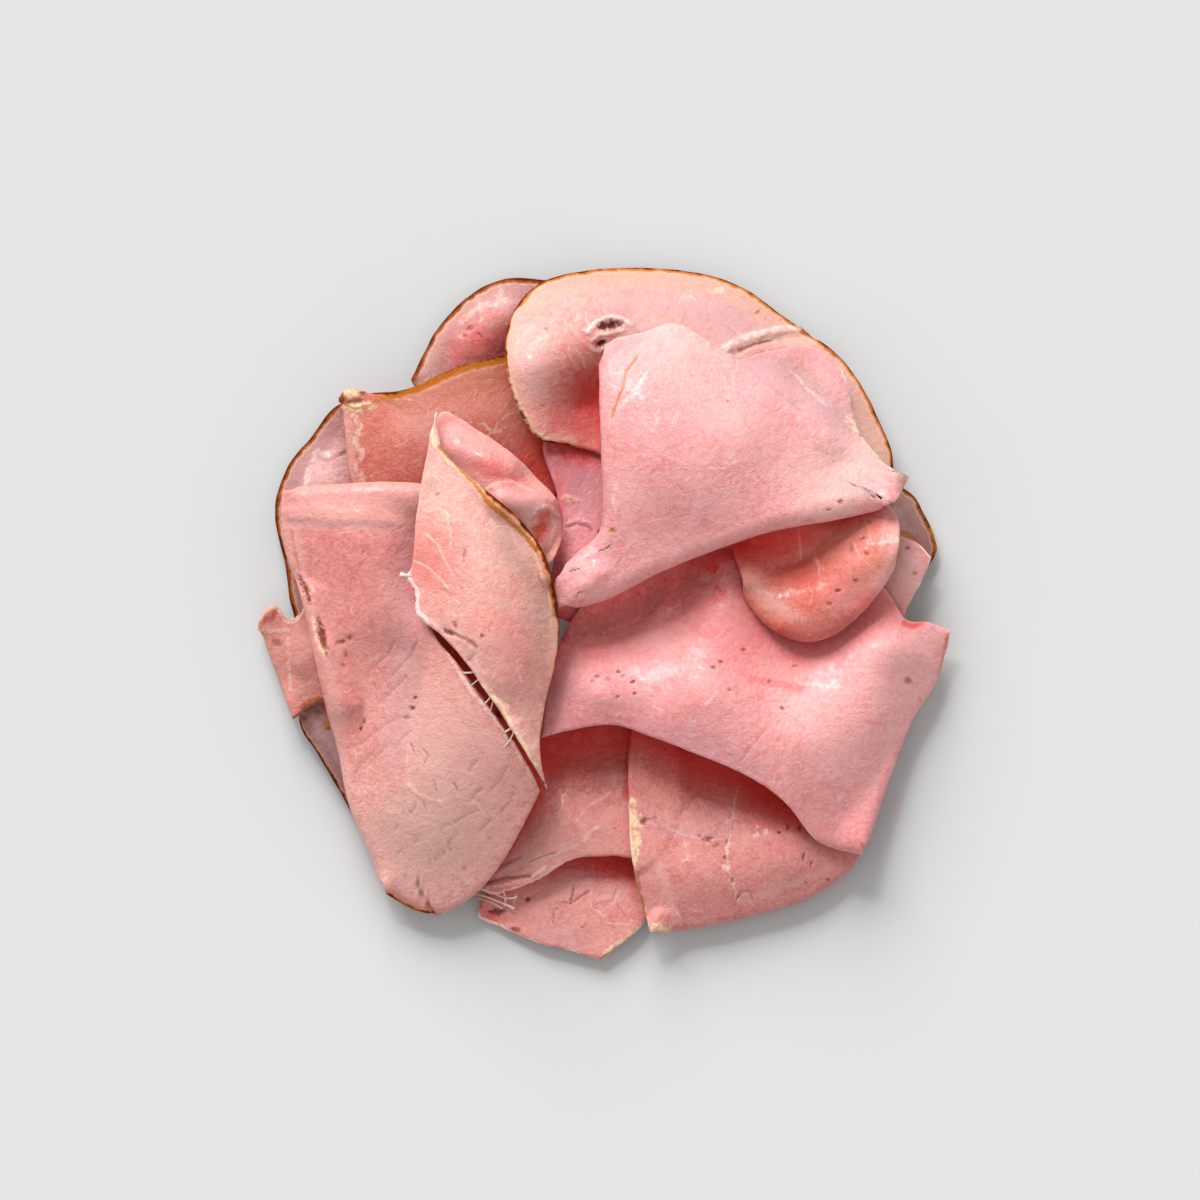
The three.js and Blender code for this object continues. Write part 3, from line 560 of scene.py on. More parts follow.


# Many marks here are painted light and shade: cream and pale lift lit sides, lilac paints wet sheen,
# some white streaks paint highlights, red, grey and dark paint shade in hollows
DRESS: dict[str, Dress] = {
    "lower_left_slice": Dress(
        "mauve_meat",
        edges=(Edge(0, 5, Rim.RIND, 0.5),),
        marks=(
            *spots(BARK, (-83.4, -33.1, 1.8, 1, 20, 0.9)),
            *lines(LILAC_AND_PAINTED_SHEEN, (3, 0.5, 0, -85.2, -34.9, -77.7, -52.9, -68.7, -71)),
            *lines(PALE_AND_PAINTED_LIGHT, (1.2, 0.5, 0, -87.6, -36.4, -79.8, -52.9, -72.6, -68)),
            *spots(BROWN, (-82.5, -34.4, 1, 0.6, 30, 0.8)),
        ),
        tint="#dfe6e8",
        shade=0.7,
    ),
    "left_slice": Dress(
        "mauve_meat",
        edges=(Edge(0, 8, Rim.RIND, 0.9),),
        marks=(
            *spots(PALE_AND_PAINTED_LIGHT, (-91.2, 41.5, 11, 20, 0, 0.5)),
            *lines(PALE_AND_PAINTED_LIGHT, (1.2, 0.5, 0, -86.4, 53.5, -82.2, 56.9, -79.8, 58.9)),
            *spots(LILAC_AND_PAINTED_SHEEN, (-94.2, 40, 12, 16, 0, 0.35)),
            *lines(LILAC_AND_PAINTED_SHEEN, (2.6, 0.7, 0, -90.3, 37, -88.8, 44.5, -84.6, 50.5)),
            *lines(RED, (1.6, 0.35, 0, -96, 34, -94.8, 22.1, -93.6, 10)),
            *lines(WHITE, (0.8, 0.47, 0, -89.4, 38.9, -87.9, 45.4, -85.8, 49)),
            *spots(DARK, (-78.6, 48.1, 1.4, 0.6, 35, 0.6, 0.3), (-79.8, 38.2, 1.1, 0.7, 0, 0.5, 0.3)),
            *lines(BROWN, (0.35, 0.25, 0.3, -85.8, 46, -82.8, 45.4, -79.2, 47.5)),
        ),
        shade=0.55,
    ),
    "top_left_slice": Dress(
        "mauve_meat",
        edges=(Edge(0, 6, Rim.RIND, 1),),
        marks=(
            *spots(
                RED, (-33.6, 79, 6, 7, 40, 0.4), (-36, 82.6, 9, 7, 40, 0.55),
                (-43.2, 78.5, 4, 6, 0, 0.4),
            ),
            *lines(
                PALE_AND_PAINTED_LIGHT, (3, 0.8, 0, -54, 74.2, -48, 84.5, -38.7, 92.8, -19.2, 97),
                (1.1, 0.5, 0, -50.1, 75.5, -47.4, 81.5, -44.4, 86.8),
            ),
            *spots(PALE_AND_PAINTED_LIGHT, (-31.2, 88.6, 5, 2, 30, 0.4)),
            *spots(GREY_AND_PAINTED_SHADE, (-33.6, 86.2, 4, 1.8, 25, 0.4)),
            *lines(WHITE, (0.8, 0.34, 0, -42.6, 87.5, -37.2, 92.2, -29.7, 94)),
            *spots(
                DARK, (-40.2, 85.6, 1.2, 0.6, 20, 0.6, 0.3), (-37.5, 83.8, 1, 0.5, -40, 0.5, 0.3),
                (-41.7, 83.2, 0.7, 0.5, 0, 0.5, 0.2),
            ),
            *spots(BROWN, (-57.6, 70.3, 2.2, 1.3, 60, 0.9, -0.2)),
        ),
        shade=0.45,
    ),
    "right_back_slice": Dress(
        "mauve_meat",
        edges=(Edge(0, 4, Rim.RIND, 0.9),),
        marks=(
            *lines(
                BARK, (0.9, 0.9, 0, 98.4, 24.8, 100.2, 22.1, 100.2, 17.6),
                (0.7, 0.85, 0, 88.2, 24.8, 90.9, 23.8, 93.3, 22.1),
            ),
            *spots(GREY_AND_PAINTED_SHADE, (93.3, 34, 7, 5, 60, 0.55)),
            *spots(LILAC_AND_PAINTED_SHEEN, (90.3, 28.1, 4, 4, 0, 0.5)),
        ),
        tint="#eaf0f2",
        shade=0.5,
    ),
    "bottom_tip_slice": Dress(
        "rose_meat",
        edges=(Edge(4, 5.6, Rim.FAT, 0.7), Edge(0, 1, Rim.TORN, 0.6), Edge(1, 4, Rim.TORN, 0.2)),
        marks=(
            *spots(RED, (-34.2, -92, 4.2, 2.4, 10, 0.5, 0.5), (2.4, -77, 7, 3.4, -10, 0.85)),
            *lines(
                PALE_AND_PAINTED_LIGHT, (0.6, 0.7, -0.3, -37.8, -89.5, -37.2, -93.8, -32.4, -95.5),
                (0.9, 0.6, 0, -1.2, -86, 3.6, -85.6),
            ),
            *spots(PALE_AND_PAINTED_LIGHT, (4.8, -83, 4, 3, 0, 0.5)),
            *lines(BARK, (0.5, 0.8, 0, -0.9, -104.2, 2.4, -101.8, 9, -97.3)),
            *lines(FAT, (0.7, 0.7, 0, 0, -102.5, 4.2, -99.5, 8.4, -96.8)),
            *spots(LILAC_AND_PAINTED_SHEEN, (-13.2, -98, 8, 4, -15, 0.45)),
            *lines(WHITE, (0.4, 0.42, 0, -26.4, -84.5, -27.3, -87.8, -28.8, -90.5)),
            *spots(DARK, (-32.1, -90.1, 2.2, 1, 0, 0.7, 0.5)),
            *lines(
                DARK, (0.4, 0.42, 0.7, -9, -82, -9.9, -87.5),
                (0.35, 0.42, 0.6, -8.7, -86.8, -6.9, -85.3, -4.5, -83.8),
                (0.3, 0.3, 0.5, -15.3, -93.5, -15, -90.1, -13.8, -89),
            ),
            *lines(
                BROWN, (0.35, 0.35, 0.3, -12.6, -87.1, -9.9, -87.5),
                (0.3, 0.25, 0.3, -1.8, -87.5, 2.4, -86.8, 3.6, -83.8),
                (0.25, 0.23, 0.3, 3.9, -88, 7.2, -92, 10.8, -92.2),
            ),
            *spots(
                BROWN, (-23.1, -86.2, 0.9, 0.7, 0, 0.9, 0.5), (-26.7, -95.5, 1.2, 0.8, 0, 0.7, 0.3),
                (-6.3, -94.3, 0.7, 0.4, 30, 0.5, 0.2),
            ),
        ),
    ),
    "side_curl_slice": Dress(
        "pink_meat",
        edges=(Edge(8, 11, Rim.TORN, 0.7), Edge(0, 1, Rim.TORN, 0.5)),
        marks=(
            *spots(PALE_AND_PAINTED_LIGHT, (-99.6, -13.9, 3, 6, 15, 0.5)),
            *lines(PALE_AND_PAINTED_LIGHT, (0.9, 0.6, -0.3, -102.6, -2.5, -101.4, 1.1, -99, 1.9)),
            *lines(BARK, (0.7, 0.8, 0, -91.2, -28.3, -87.6, -25.9, -83.7, -25.1)),
            *lines(RED, (0.8, 0.5, 0.4, -101.7, -1.9, -99.6, -1.3, -98.4, 1.1)),
            *spots(LILAC_AND_PAINTED_SHEEN, (-89.7, -13.9, 3, 7, 0, 0.4)),
            *lines(
                WHITE, (0.6, 0.59, -0.2, -104.4, -4.6, -100.8, -5.2, -94.8, -5.2),
                (0.5, 0.59, -0.3, -94.8, -7.9, -94.2, -14.5, -93.9, -23.6),
                (0.35, 0.51, 0, -92.4, -22.9, -88.2, -20.6, -84, -16.3),
            ),
            *spots(BROWN, (-98.4, -8.8, 1.4, 1, 0, 0.55, 0.3)),
            *lines(BROWN, (0.7, 0.45, 0, -93.9, -31.9, -90.9, -29.8, -88.2, -27.1, -83.7, -25.9)),
        ),
        tint="#d9cdbf",
        shade=0.7,
    ),
    "bottom_middle_slice": Dress(
        "rose_meat",
        edges=(Edge(0, 3, Rim.TORN, 0.6),),
        marks=(
            *spots(PAINTED_LIGHT, (-13.2, -71, 16, 8, 0, 0.25)),
            *lines(PALE_AND_PAINTED_LIGHT, (0.8, 0.6, -0.2, -37.2, -80, -28.2, -76.3, -19.2, -73.3, -8.7, -70.3)),
            *spots(PALE_AND_PAINTED_LIGHT, (5.4, -47.5, 3, 5, 70, 0.55, -0.3)),
            *lines(RED, (1.4, 0.9, 0, 7.5, -36.4, 7.8, -46.9, 7.5, -55.9)),
            *spots(RED, (-13.2, -43.9, 12, 6, 0, 0.5), (-19.2, -37.9, 9, 4, 0, 0.4)),
            *lines(
                WHITE, (0.55, 0.59, 0, -6.3, -68.2, -4.2, -65.5, -2.4, -64.3),
                (0.4, 0.42, 0, -4.2, -57.8, -0.6, -55.9, 1.8, -54.1),
                (0.35, 0.42, 0, -8.7, -62.5, -6.3, -60.1),
                (0.5, 0.68, -0.2, -38.4, -83.5, -31.2, -81.8, -23.7, -80.5, -17.7, -76.3),
            ),
            *spots(DARK, (-5.7, -47.5, 22, 6, 5, 0.25), (-8.7, -49.9, 0.5, 0.5, 0, 0.6, 0.2)),
            *lines(DARK, (0.5, 0.45, 0.8, -35.4, -81.1, -29.7, -79.6, -22.2, -79)),
            *lines(
                BROWN, (0.3, 0.3, 0.4, -30.9, -76, -28.2, -74.5, -25.2, -73.3),
                (0.3, 0.3, 0.4, -22.2, -74.5, -19.2, -73.3, -14.7, -71.8),
            ),
        ),
        threads=(
            Thread(((-40.8, -83.8, 5), (-36, -85, 6), (-31.2, -86.8, 5), (-27, -89, 5.5)), 0.35),
            Thread(((-36, -81.8, 8), (-33, -85, 6), (-28.8, -86.8, 6), (-26.4, -85.3, 8)), 0.25),
            Thread(((-31.2, -82.3, 9), (-29.4, -85, 6), (-30, -88.3, 5)), 0.3),
            Thread(((-39, -85.6, 4), (-34.2, -86.8, 5), (-30.6, -89, 5)), 0.2),
        ),
        tint="#f0e6e4",
    ),
    "right_flap_slice": Dress(
        "rose_meat",
        edges=(Edge(0, 3, Rim.TORN, 0.3),),
        marks=(
            *spots(PALE_AND_PAINTED_LIGHT, (91.2, 10, 6, 12, 20, 0.8)),
            *lines(PALE_AND_PAINTED_LIGHT, (0.6, 0.6, 0, 97.8, 14.2, 93.3, 5.5, 90.6, -1.9)),
            *spots(LILAC_AND_PAINTED_SHEEN, (91.2, 16.1, 4, 7, 20, 0.45)),
            *spots(BROWN, (91.2, 19.6, 0.8, 0.6, 0, 0.6, 0.2), (93.3, 12.2, 0.8, 0.6, 0, 0.5, 0.2)),
        ),
        shade=0.65,
    ),
    "lower_right_slice": Dress(
        "rose_meat",
        edges=(Edge(0.9, 3, Rim.FAT, 0.6),),
        marks=(
            *lines(FAT, (0.9, 0.9, 0, 8.4, -56.5, 9.3, -61.9, 9.9, -67.3, 9, -74, 8.4, -78.1)),
            *spots(FAT, (9.3, -67.3, 1.7, 6.5, -4, 1), (15.9, -95, 3.4, 1.5, 8, 0.95)),
            *lines(BARK, (0.5, 0.7, 0, 8.7, -75.8, 10.5, -83.5, 12.3, -90.5)),
            *lines(LILAC_AND_PAINTED_SHEEN, (1.2, 0.4, 0, 13.8, -63.1, 25.8, -66.8, 37.8, -66.8)),
            *lines(
                PALE_AND_PAINTED_LIGHT, (1.2, 0.35, 0, 15.3, -74, 19.2, -83, 21.3, -92),
                (1.2, 0.35, 0, 42.3, -86, 55.8, -81.5, 67.8, -77),
                (1, 0.5, 0, 42.3, -67.3, 52.8, -67.3, 58.8, -66.8),
            ),
            *spots(RED, (25.8, -48.4, 14, 7, -15, 0.6), (48.3, -57.4, 10, 7, -40, 0.6)),
            *lines(
                WHITE, (0.3, 0.42, 0, 12.6, -63.1, 17.4, -64, 25.2, -67.3, 32.4, -68.5, 37.2, -68),
                (0.35, 0.47, 0, 41.4, -50.5, 39.6, -55.9, 38.7, -61.9, 38.1, -65.5),
                (0.45, 0.64, 0, 37.8, -66.8, 36.9, -71, 37.2, -75.8, 38.7, -81.5, 40.5, -86),
                (0.3, 0.51, 0, 41.1, -83, 44.1, -82.3), (0.35, 0.42, 0, 24, -68.8, 25.5, -73.3),
                (0.35, 0.42, 0, 20.4, -87.5, 22.8, -91.3),
            ),
            *spots(WHITE, (36.9, -76.6, 1, 1.3, 0, 0.9, -0.2)),
            *lines(
                BROWN, (0.55, 0.42, 0, 9.9, -77.5, 11.1, -84.5, 13.2, -94.3),
                (0.45, 0.3, 0.2, 12.3, -62.5, 15.3, -61.6), (0.3, 0.35, 0.3, 38.7, -62.5, 38.4, -65.5),
                (0.35, 0.3, 0.3, 40.8, -83.5, 43.8, -83, 44.7, -86),
            ),
            *spots(
                BROWN, (12.3, -62.5, 1.5, 0.9, 20, 0.8, 0.4), (36.9, -68.8, 0.8, 0.5, 90, 0.7, 0.3),
                (36.3, -73.3, 0.7, 0.5, 60, 0.7, 0.3), (38.4, -80, 0.8, 0.5, 90, 0.7, 0.3),
                (40.2, -85, 0.9, 0.4, 70, 0.8, 0.3), (31.2, -68.2, 1.6, 0.9, 10, 0.75, 0.3),
                (34.2, -69.8, 1.2, 0.7, 0, 0.7, 0.3), (28.8, -67.3, 0.7, 0.5, 0, 0.5, 0.2),
                (55.2, -64.6, 0.9, 0.5, 70, 0.8, 0.4), (58.8, -65, 0.8, 0.5, 60, 0.8, 0.4),
                (59.7, -73, 1, 0.5, 75, 0.85, 0.4), (62.1, -75.1, 0.9, 0.4, 75, 0.8, 0.3),
                (67.2, -80, 0.7, 0.5, 0, 0.7, 0.3), (60.6, -80.8, 0.5, 0.4, 0, 0.7, 0.2),
            ),
            *spots(DARK, (52.5, -66.1, 0.6, 0.5, 0, 0.8, 0.4)),
        ),
        tint="#f4f0f0",
    ),
    "upper_left_slice": Dress(
        "coral_meat",
        edges=(Edge(1.2, 6, Rim.RIND, 1.3),),
        marks=(
            *spots(FAT, (-75.6, 65.2, 3.2, 1.7, 0, 1, -1.6), (-74.4, 61.9, 4.8, 1.3, 3, 1, -0.4)),
            *lines(
                BARK, (0.35, 0.7, 0, -78.3, 63.1, -74.4, 61.3, -69.6, 62.5),
                (0.9, 0.75, 0, -68.4, 63.4, -59.7, 65.8, -49.2, 70.6, -40.2, 74, -30.3, 76),
            ),
            *lines(PALE_AND_PAINTED_LIGHT, (1.6, 0.6, 0, -77.7, 60.4, -76.2, 52, -75.6, 43, -74.7, 38.2)),
            *spots(PALE_AND_PAINTED_LIGHT, (-52.2, 56.5, 9, 5, 10, 0.3)),
            *spots(
                RED, (-22.8, 43, 9, 8, 0, 0.7), (-17.7, 50.5, 5, 6, 0, 0.6),
                (-31.2, 49, 8, 4, -35, 0.35),
            ),
            *lines(
                WHITE,
                (0.8, 0.51, 0, -75.3, 59.8, -72.9, 56.2, -74.7, 52, -72.3, 48.1, -74.4, 43.6, -72,
                 40.6, -73.2, 38.2), (0.45, 0.51, 0, -36.6, 56.9, -33.6, 54.4, -31.2, 55),
                (0.35, 0.42, 0, -35.4, 53.2, -33.3, 55, -31.5, 57.8),
                (0.4, 0.42, 0, -32.1, 57.4, -28.8, 59.8, -25.2, 61),
            ),
            *spots(BROWN, (-78.9, 64.3, 1.6, 1.1, 20, 0.9, -1), (-72.3, 65.8, 1.2, 0.6, 15, 0.9, -0.8)),
        ),
        tint="#e6e6e2",
        shade=0.75,
    ),
    "centre_slice": Dress(
        "pink_meat",
        marks=(
            *spots(LILAC_AND_PAINTED_SHEEN, (-7.2, 37, 12, 9, 90, 0.7)),
            *spots(
                RED, (-7.8, 49, 9, 3.5, -12, 0.8), (-13.8, 28.1, 1.5, 12, 0, 0.4),
                (-11.7, 0.4, 4, 2.5, 20, 0.5),
            ),
            *spots(FAT, (-10.2, 34, 2.2, 1.3, -8, 0.6, -0.3)),
            *spots(BARK, (-10.2, 34, 1, 0.5, -8, 0.5)),
            *lines(PALE_AND_PAINTED_LIGHT, (0.7, 0.4, 0, -15.6, 43, -16.2, 34, -14.4, 22.1)),
            *lines(
                WHITE, (0.35, 0.51, -0.2, -10.8, 26.6, -7.8, 27.8, -4.2, 26.8),
                (0.5, 0.51, 0, -7.8, 16.1, -4.8, 17.2, -1.2, 19.3),
            ),
            *lines(DARK, (0.5, 0.4, 0.5, -11.1, 25.6, -8.1, 26.8, -4.8, 25.9, -3.9, 24.8)),
            *spots(DARK, (-0.9, 23.2, 1.7, 0.8, -60, 0.85, 0.6)),
            *spots(BROWN, (-12.6, 5.2, 0.9, 0.7, 0, 0.6)),
        ),
        tint="#f2d6dc",
        shade=0.45,
    ),
    "back_slice": Dress(
        "pale_meat",
        edges=(Edge(1.2, 4, Rim.RIND, 0.5), Edge(4, 16, Rim.RIND, 0.85), Edge(0, 1.4, Rim.RIND, 0.3)),
        marks=(
            *lines(
                GREY_AND_PAINTED_SHADE,
                (0.9, 1, 0.5, 38.7, 77.8, 43.8, 80.5, 49.2, 82, 55.2, 83.2, 60, 83.5, 64.8, 83, 69.6,
                 80.2), (3, 0.5, 0, -13.2, 100.6, 10.8, 101.8, 34.8, 98.5, 55.8, 88.6),
                (2.4, 0.5, 0, 76.2, 68.8, 81.6, 58, 84.6, 47.5),
            ),
            *spots(PALE_AND_PAINTED_LIGHT, (77.4, 55, 6, 20, 20, 0.9), (-21.6, 70, 6, 13, 12, 0.45)),
            *lines(PALE_AND_PAINTED_LIGHT, (1, 0.4, 0, 4.8, 94, 22.8, 92.2, 34.8, 94)),
            *spots(
                LILAC_AND_PAINTED_SHEEN, (67.8, 67, 14, 10, 20, 0.4), (10.8, 91.6, 12, 5, 5, 0.4),
                (34.2, 88.6, 14, 6, -12, 0.6), (42.3, 80.5, 7, 4, -30, 0.4),
            ),
            *lines(LILAC_AND_PAINTED_SHEEN, (2, 0.4, 0, 72.3, 71.5, 76.2, 61, 78.6, 52)),
            *lines(FAT, (0.8, 0.7, 0, -29.1, 72.5, -27.3, 68.2, -24.9, 61, -21, 53.9, -17.7, 52.6)),
            *lines(BARK, (0.5, 0.6, 0, -29.4, 77.5, -28.8, 71.2)),
            *spots(
                RED, (-4.8, 65.5, 8, 15, 0, 0.7), (-7.8, 56.5, 12, 6, -15, 0.55),
                (-4.8, 78.5, 5, 5, 0, 0.35),
            ),
            *lines(
                WHITE,
                (0.9, 0.8, -0.4, 35.4, 79, 41.4, 82.3, 48, 84.1, 55.2, 85.3, 60.6, 85.6, 66, 84.5,
                 71.4, 80.8), (0.6, 0.77, -0.5, -4.8, 84.1, -2.4, 87.1, 1.8, 88.6, 6, 87.8, 7.8, 86.2),
                (0.55, 0.72, -0.4, -3.9, 81.8, -1.8, 83.5, 1.8, 83.8, 5.4, 84.8),
                (0.5, 0.68, -0.3, -4.2, 80, -1.8, 78.5, 0.6, 80.5),
                (0.35, 0.51, 0, -11.1, 80.8, -10.5, 77.2, -8.4, 74.2),
                (0.35, 0.51, 0, -8.7, 79.6, -6.3, 76.6, -6, 74.2),
                (0.3, 0.42, 0, -13.2, 75.5, -11.4, 72.8, -9.6, 72.1),
                (0.3, 0.42, 0, -7.2, 82, -4.2, 80.5), (0.6, 0.42, 0, 22.8, 93.1, 24.6, 95.2, 27, 94),
            ),
            *spots(WHITE, (33.9, 96.8, 2.4, 0.8, 10, 0.5)),
            *lines(BROWN, (0.5, 0.8, 0.6, 40.5, 78.8, 45.6, 80.8, 49.8, 81.8)),
            *spots(
                BROWN, (-17.4, 85, 1, 0.5, 10, 0.55, 0.15), (-19.2, 62.5, 0.8, 0.4, 0, 0.4),
                (-0.3, 86, 1.4, 0.8, 10, 0.9, 0.6), (45.9, 90.5, 0.8, 0.4, 60, 0.6),
                (48.3, 88.3, 0.7, 0.4, 60, 0.6), (52.8, 88, 0.6, 0.5, 0, 0.5),
            ),
            *spots(DARK, (2.1, 86.2, 3, 1.2, 6, 1, 1.2), (-0.9, 81.1, 1.5, 0.8, 30, 0.95, 1)),
        ),
        tint="#f8f4f6",
        shade=0.85,
    ),
    "right_front_slice": Dress(
        "pink_meat",
        edges=(Edge(0, 8, Rim.TORN, 0.12), Edge(10.5, 13, Rim.TORN, 0.45)),
        marks=(
            *spots(
                RED, (33.3, 12.4, 5, 8, 0, 0.9), (42.3, -7.9, 14, 10, 0, 0.25),
                (34.8, 16.1, 8, 5, 20, 0.6),
            ),
            *lines(
                RED, (5.5, 0.3, 0, -1.2, -7.9, 10.8, 0.4, 25.8, 7.6, 37.8, 13),
                (4, 0.35, 0, 41.4, 7, 46.8, -5, 58.8, -12.4, 73.8, -6.8, 84.3, 1.1),
                (4, 0.35, 0, -4.2, -2.5, 2.4, 2.2, 13.8, 5.2), (1.2, 0.4, 0, 58.8, -22.9, 43.8, -19.9),
                (1, 0.7, 0.4, 90.3, -3.4, 93, -4, 95.4, -2.5),
            ),
            *spots(PAINTED_LIGHT, (69.3, -36.4, 20, 16, 20, 0.25), (87.3, -22.9, 14, 16, 0, 0.3)),
            *spots(
                PALE_AND_PAINTED_LIGHT, (90.9, -19.6, 0.8, 0.4, -40, 0.8), (4.8, -30.4, 1.3, 1.1, 0, 0.8, -0.2),
                (79.8, -51.4, 3, 3.5, 0, 0.4),
            ),
            *lines(
                PALE_AND_PAINTED_LIGHT, (3.5, 0.4, 0, 16.8, -7.9, 25.8, -10.9, 30.3, -22.9),
                (1.8, 0.45, 0, 93.3, -7.9, 99.3, -7.9, 103.2, -6.8),
            ),
            *lines(
                LILAC_AND_PAINTED_SHEEN, (2.4, 0.45, 0, -13.2, -22.9, -1.2, -25.9, 10.8, -25.9),
                (2.4, 0.4, 0, 10.8, -33.4, 28.8, -37.9, 46.8, -46.9),
                (3, 0.35, 0, 82.8, -13.9, 91.8, -13.9, 97.8, -16.9),
            ),
            *lines(BARK, (0.5, 0.6, 0, 103.2, -5.5, 102, -12.4, 100.8, -18.4)),
            *lines(
                WHITE, (0.5, 0.51, 0, 58.8, -21.4, 65.4, -21.8, 70.8, -22.3),
                (0.4, 0.42, 0, 49.8, -49.9, 54.6, -50.5),
                (0.45, 0.38, 0, 69.6, -55.9, 72.3, -52.4, 73.8, -49.9),
                (0.5, 0.42, 0, 29.7, -27.4, 32.4, -25.3, 33.6, -23.6),
                (0.4, 0.42, 0, 15.3, -27.8, 18, -28.9),
                (0.5, 0.47, 0, 11.1, -37.4, 19.2, -40, 28.8, -42.8),
                (0.4, 0.42, 0, 61.2, -68.8, 68.4, -71, 76.8, -71.8),
            ),
            *spots(DARK, (10.8, 2.5, 24, 4, 20, 0.3), (-4.2, -2.5, 12, 4, 15, 0.35)),
            *spots(
                BROWN, (4.2, -17.8, 0.75, 0.55, 0, 0.8, 0.3), (8.7, -20.8, 0.75, 0.55, 20, 0.9, 0.3),
                (-2.1, -19.3, 0.75, 0.55, 0, 0.7, 0.3), (9.3, -24.1, 0.75, 0.55, 0, 0.9, 0.3),
                (5.7, -19.1, 0.75, 0.55, 40, 0.5, 0.3), (-3.3, -20.6, 0.75, 0.55, 0, 0.5, 0.3),
                (1.2, -19.9, 0.75, 0.55, 0, 0.5, 0.3), (41.4, -10.9, 0.75, 0.55, 30, 0.7, 0.3),
                (57, -16.1, 0.75, 0.55, 0, 0.6, 0.3), (53.4, -28.6, 0.75, 0.55, 0, 0.8, 0.3),
                (37.2, -22.9, 0.75, 0.55, 0, 0.8, 0.3), (34.8, -14.5, 0.75, 0.55, 20, 0.9, 0.3),
                (49.2, -20.6, 0.75, 0.55, 30, 0.6, 0.3), (3.9, -25.1, 0.75, 0.55, 0, 0.7, 0.3),
                (32.7, -16.3, 0.75, 0.55, 0, 0.7, 0.3), (90.9, -19.9, 1.3, 0.9, -40, 0.6, 0.2),
                (94.8, -25.9, 0.6, 0.5, 0, 0.5), (4.8, -30.4, 0.5, 0.4, 0, 0.5),
            ),
            *lines(BROWN, (0.3, 0.15, 0.2, 40.8, -43.9, 46.8, -36.4, 50.4, -31.9)),
        ),
        tint="#fff4f6",
        shade=0.72,
    ),
    "tongue_slice": Dress(
        "coral_meat",
        marks=(
            *spots(
                RED, (58.8, 13, 12, 7, -20, 0.35), (48.3, 22.1, 13, 8, -10, 0.85),
                (43.2, 20.6, 9, 6, -20, 0.7), (58.8, 11.5, 8, 6, -20, 0.35),
            ),
            *lines(RED, (3, 0.45, 0, 54.3, -5, 63.3, -6.8, 73.8, -1.3, 79.8, 5.2)),
            *lines(
                PALE_AND_PAINTED_LIGHT, (2.2, 0.5, 0, 43.2, 12.4, 47.4, 5.8, 53.4, 1.1, 58.8, -2.5),
                (3, 0.7, 0, 85.8, 32.5, 87.6, 22.1, 85.8, 13, 81, 5.8),
                (3, 0.45, 0, 58.8, -6.8, 70.8, -5.5, 80.4, 4),
            ),
            *spots(LILAC_AND_PAINTED_SHEEN, (73.8, 4, 7, 6, 40, 0.4)),
            *lines(
                WHITE, (0.35, 0.42, 0, 44.4, 7, 49.2, 5.8, 54.6, 2.2),
                (0.35, 0.42, 0, 58.2, 25.9, 58.8, 20.6, 59.1, 16.1),
                (0.6, 0.51, -0.2, 82.8, 20.6, 85.2, 21.4, 87.9, 21.8),
            ),
            *spots(WHITE, (66, 13, 0.6, 0.5, 0, 0.6)),
            *spots(DARK, (63.3, -4.3, 16, 3, 10, 0.3)),
            *spots(
                BROWN, (70.2, 6.8, 0.9, 0.6, 0, 1, 0.3), (67.2, 3.1, 0.9, 0.6, 0, 0.8, 0.3),
                (78.6, 17.8, 0.9, 0.6, 0, 0.7, 0.3), (75.3, 10, 0.9, 0.6, 0, 0.8, 0.3),
                (77.7, 22.3, 0.9, 0.6, 0, 0.5, 0.3), (74.4, 19.6, 0.5, 1.2, 10, 0.6, 0.2),
            ),
        ),
        shade=0.85,
    ),
    "front_fold_slice": Dress(
        "pink_meat",
        edges=(Edge(14, 18.5, Rim.TORN, 0.5),),
        marks=(
            *spots(PAINTED_LIGHT, (69.3, 40, 14, 10, 20, 0.4), (19.8, 80.5, 14, 8, 0, 0.2)),
            *lines(
                BARK, (0.45, 0.7, 0.35, 9.9, 76, 6.6, 71.8, 6, 67.6, 4.8, 64.6, 2.7, 58.6),
                (0.5, 0.7, 0, 62.4, 83.5, 66.6, 81.1, 70.2, 77.8),
            ),
            *spots(BARK, (3, 25.3, 1, 0.8, 0, 0.8)),
            *lines(
                PALE_AND_PAINTED_LIGHT, (0.8, 0.5, -0.2, 10.8, 75.5, 7.5, 71.2, 7.2, 66.5),
                (2.5, 0.6, 0, 69.6, 54.4, 76.2, 48.4, 84, 41.9),
                (2, 0.45, 0, 16.8, 85, 25.8, 80.5, 34.8, 75.5),
                (6, 0.35, 0, 13.8, 76, 28.8, 64, 52.8, 46, 70.8, 37),
            ),
            *spots(PALE_AND_PAINTED_LIGHT, (7.2, 35.9, 5, 4.5, 90, 0.5)),
            *lines(LILAC_AND_PAINTED_SHEEN, (4.5, 0.7, 0, 47.4, 74.2, 58.8, 66.5, 70.2, 58)),
            *spots(GREY_AND_PAINTED_SHADE, (58.8, 71.5, 8, 3.5, -35, 0.4)),
            *lines(
                GREY_AND_PAINTED_SHADE, (0.5, 0.4, 0.15, 42.3, 73.6, 50.4, 66.5, 58.8, 59.8),
                (1, 0.9, 0.4, 39, 77, 43.2, 78.5, 48.6, 80, 54.6, 80.8, 59.4, 81.8, 64.2, 81.1, 68.4,
                 78.8), (0.4, 0.5, 0.3, 79.2, 40.6, 82.8, 36.4, 85.2, 32.2),
            ),
            *lines(
                FAT, (0.7, 0.75, -0.3, 38.1, 77.5, 41.7, 79.6, 47.4, 81.8, 55.8, 83.2, 61.8, 83.8),
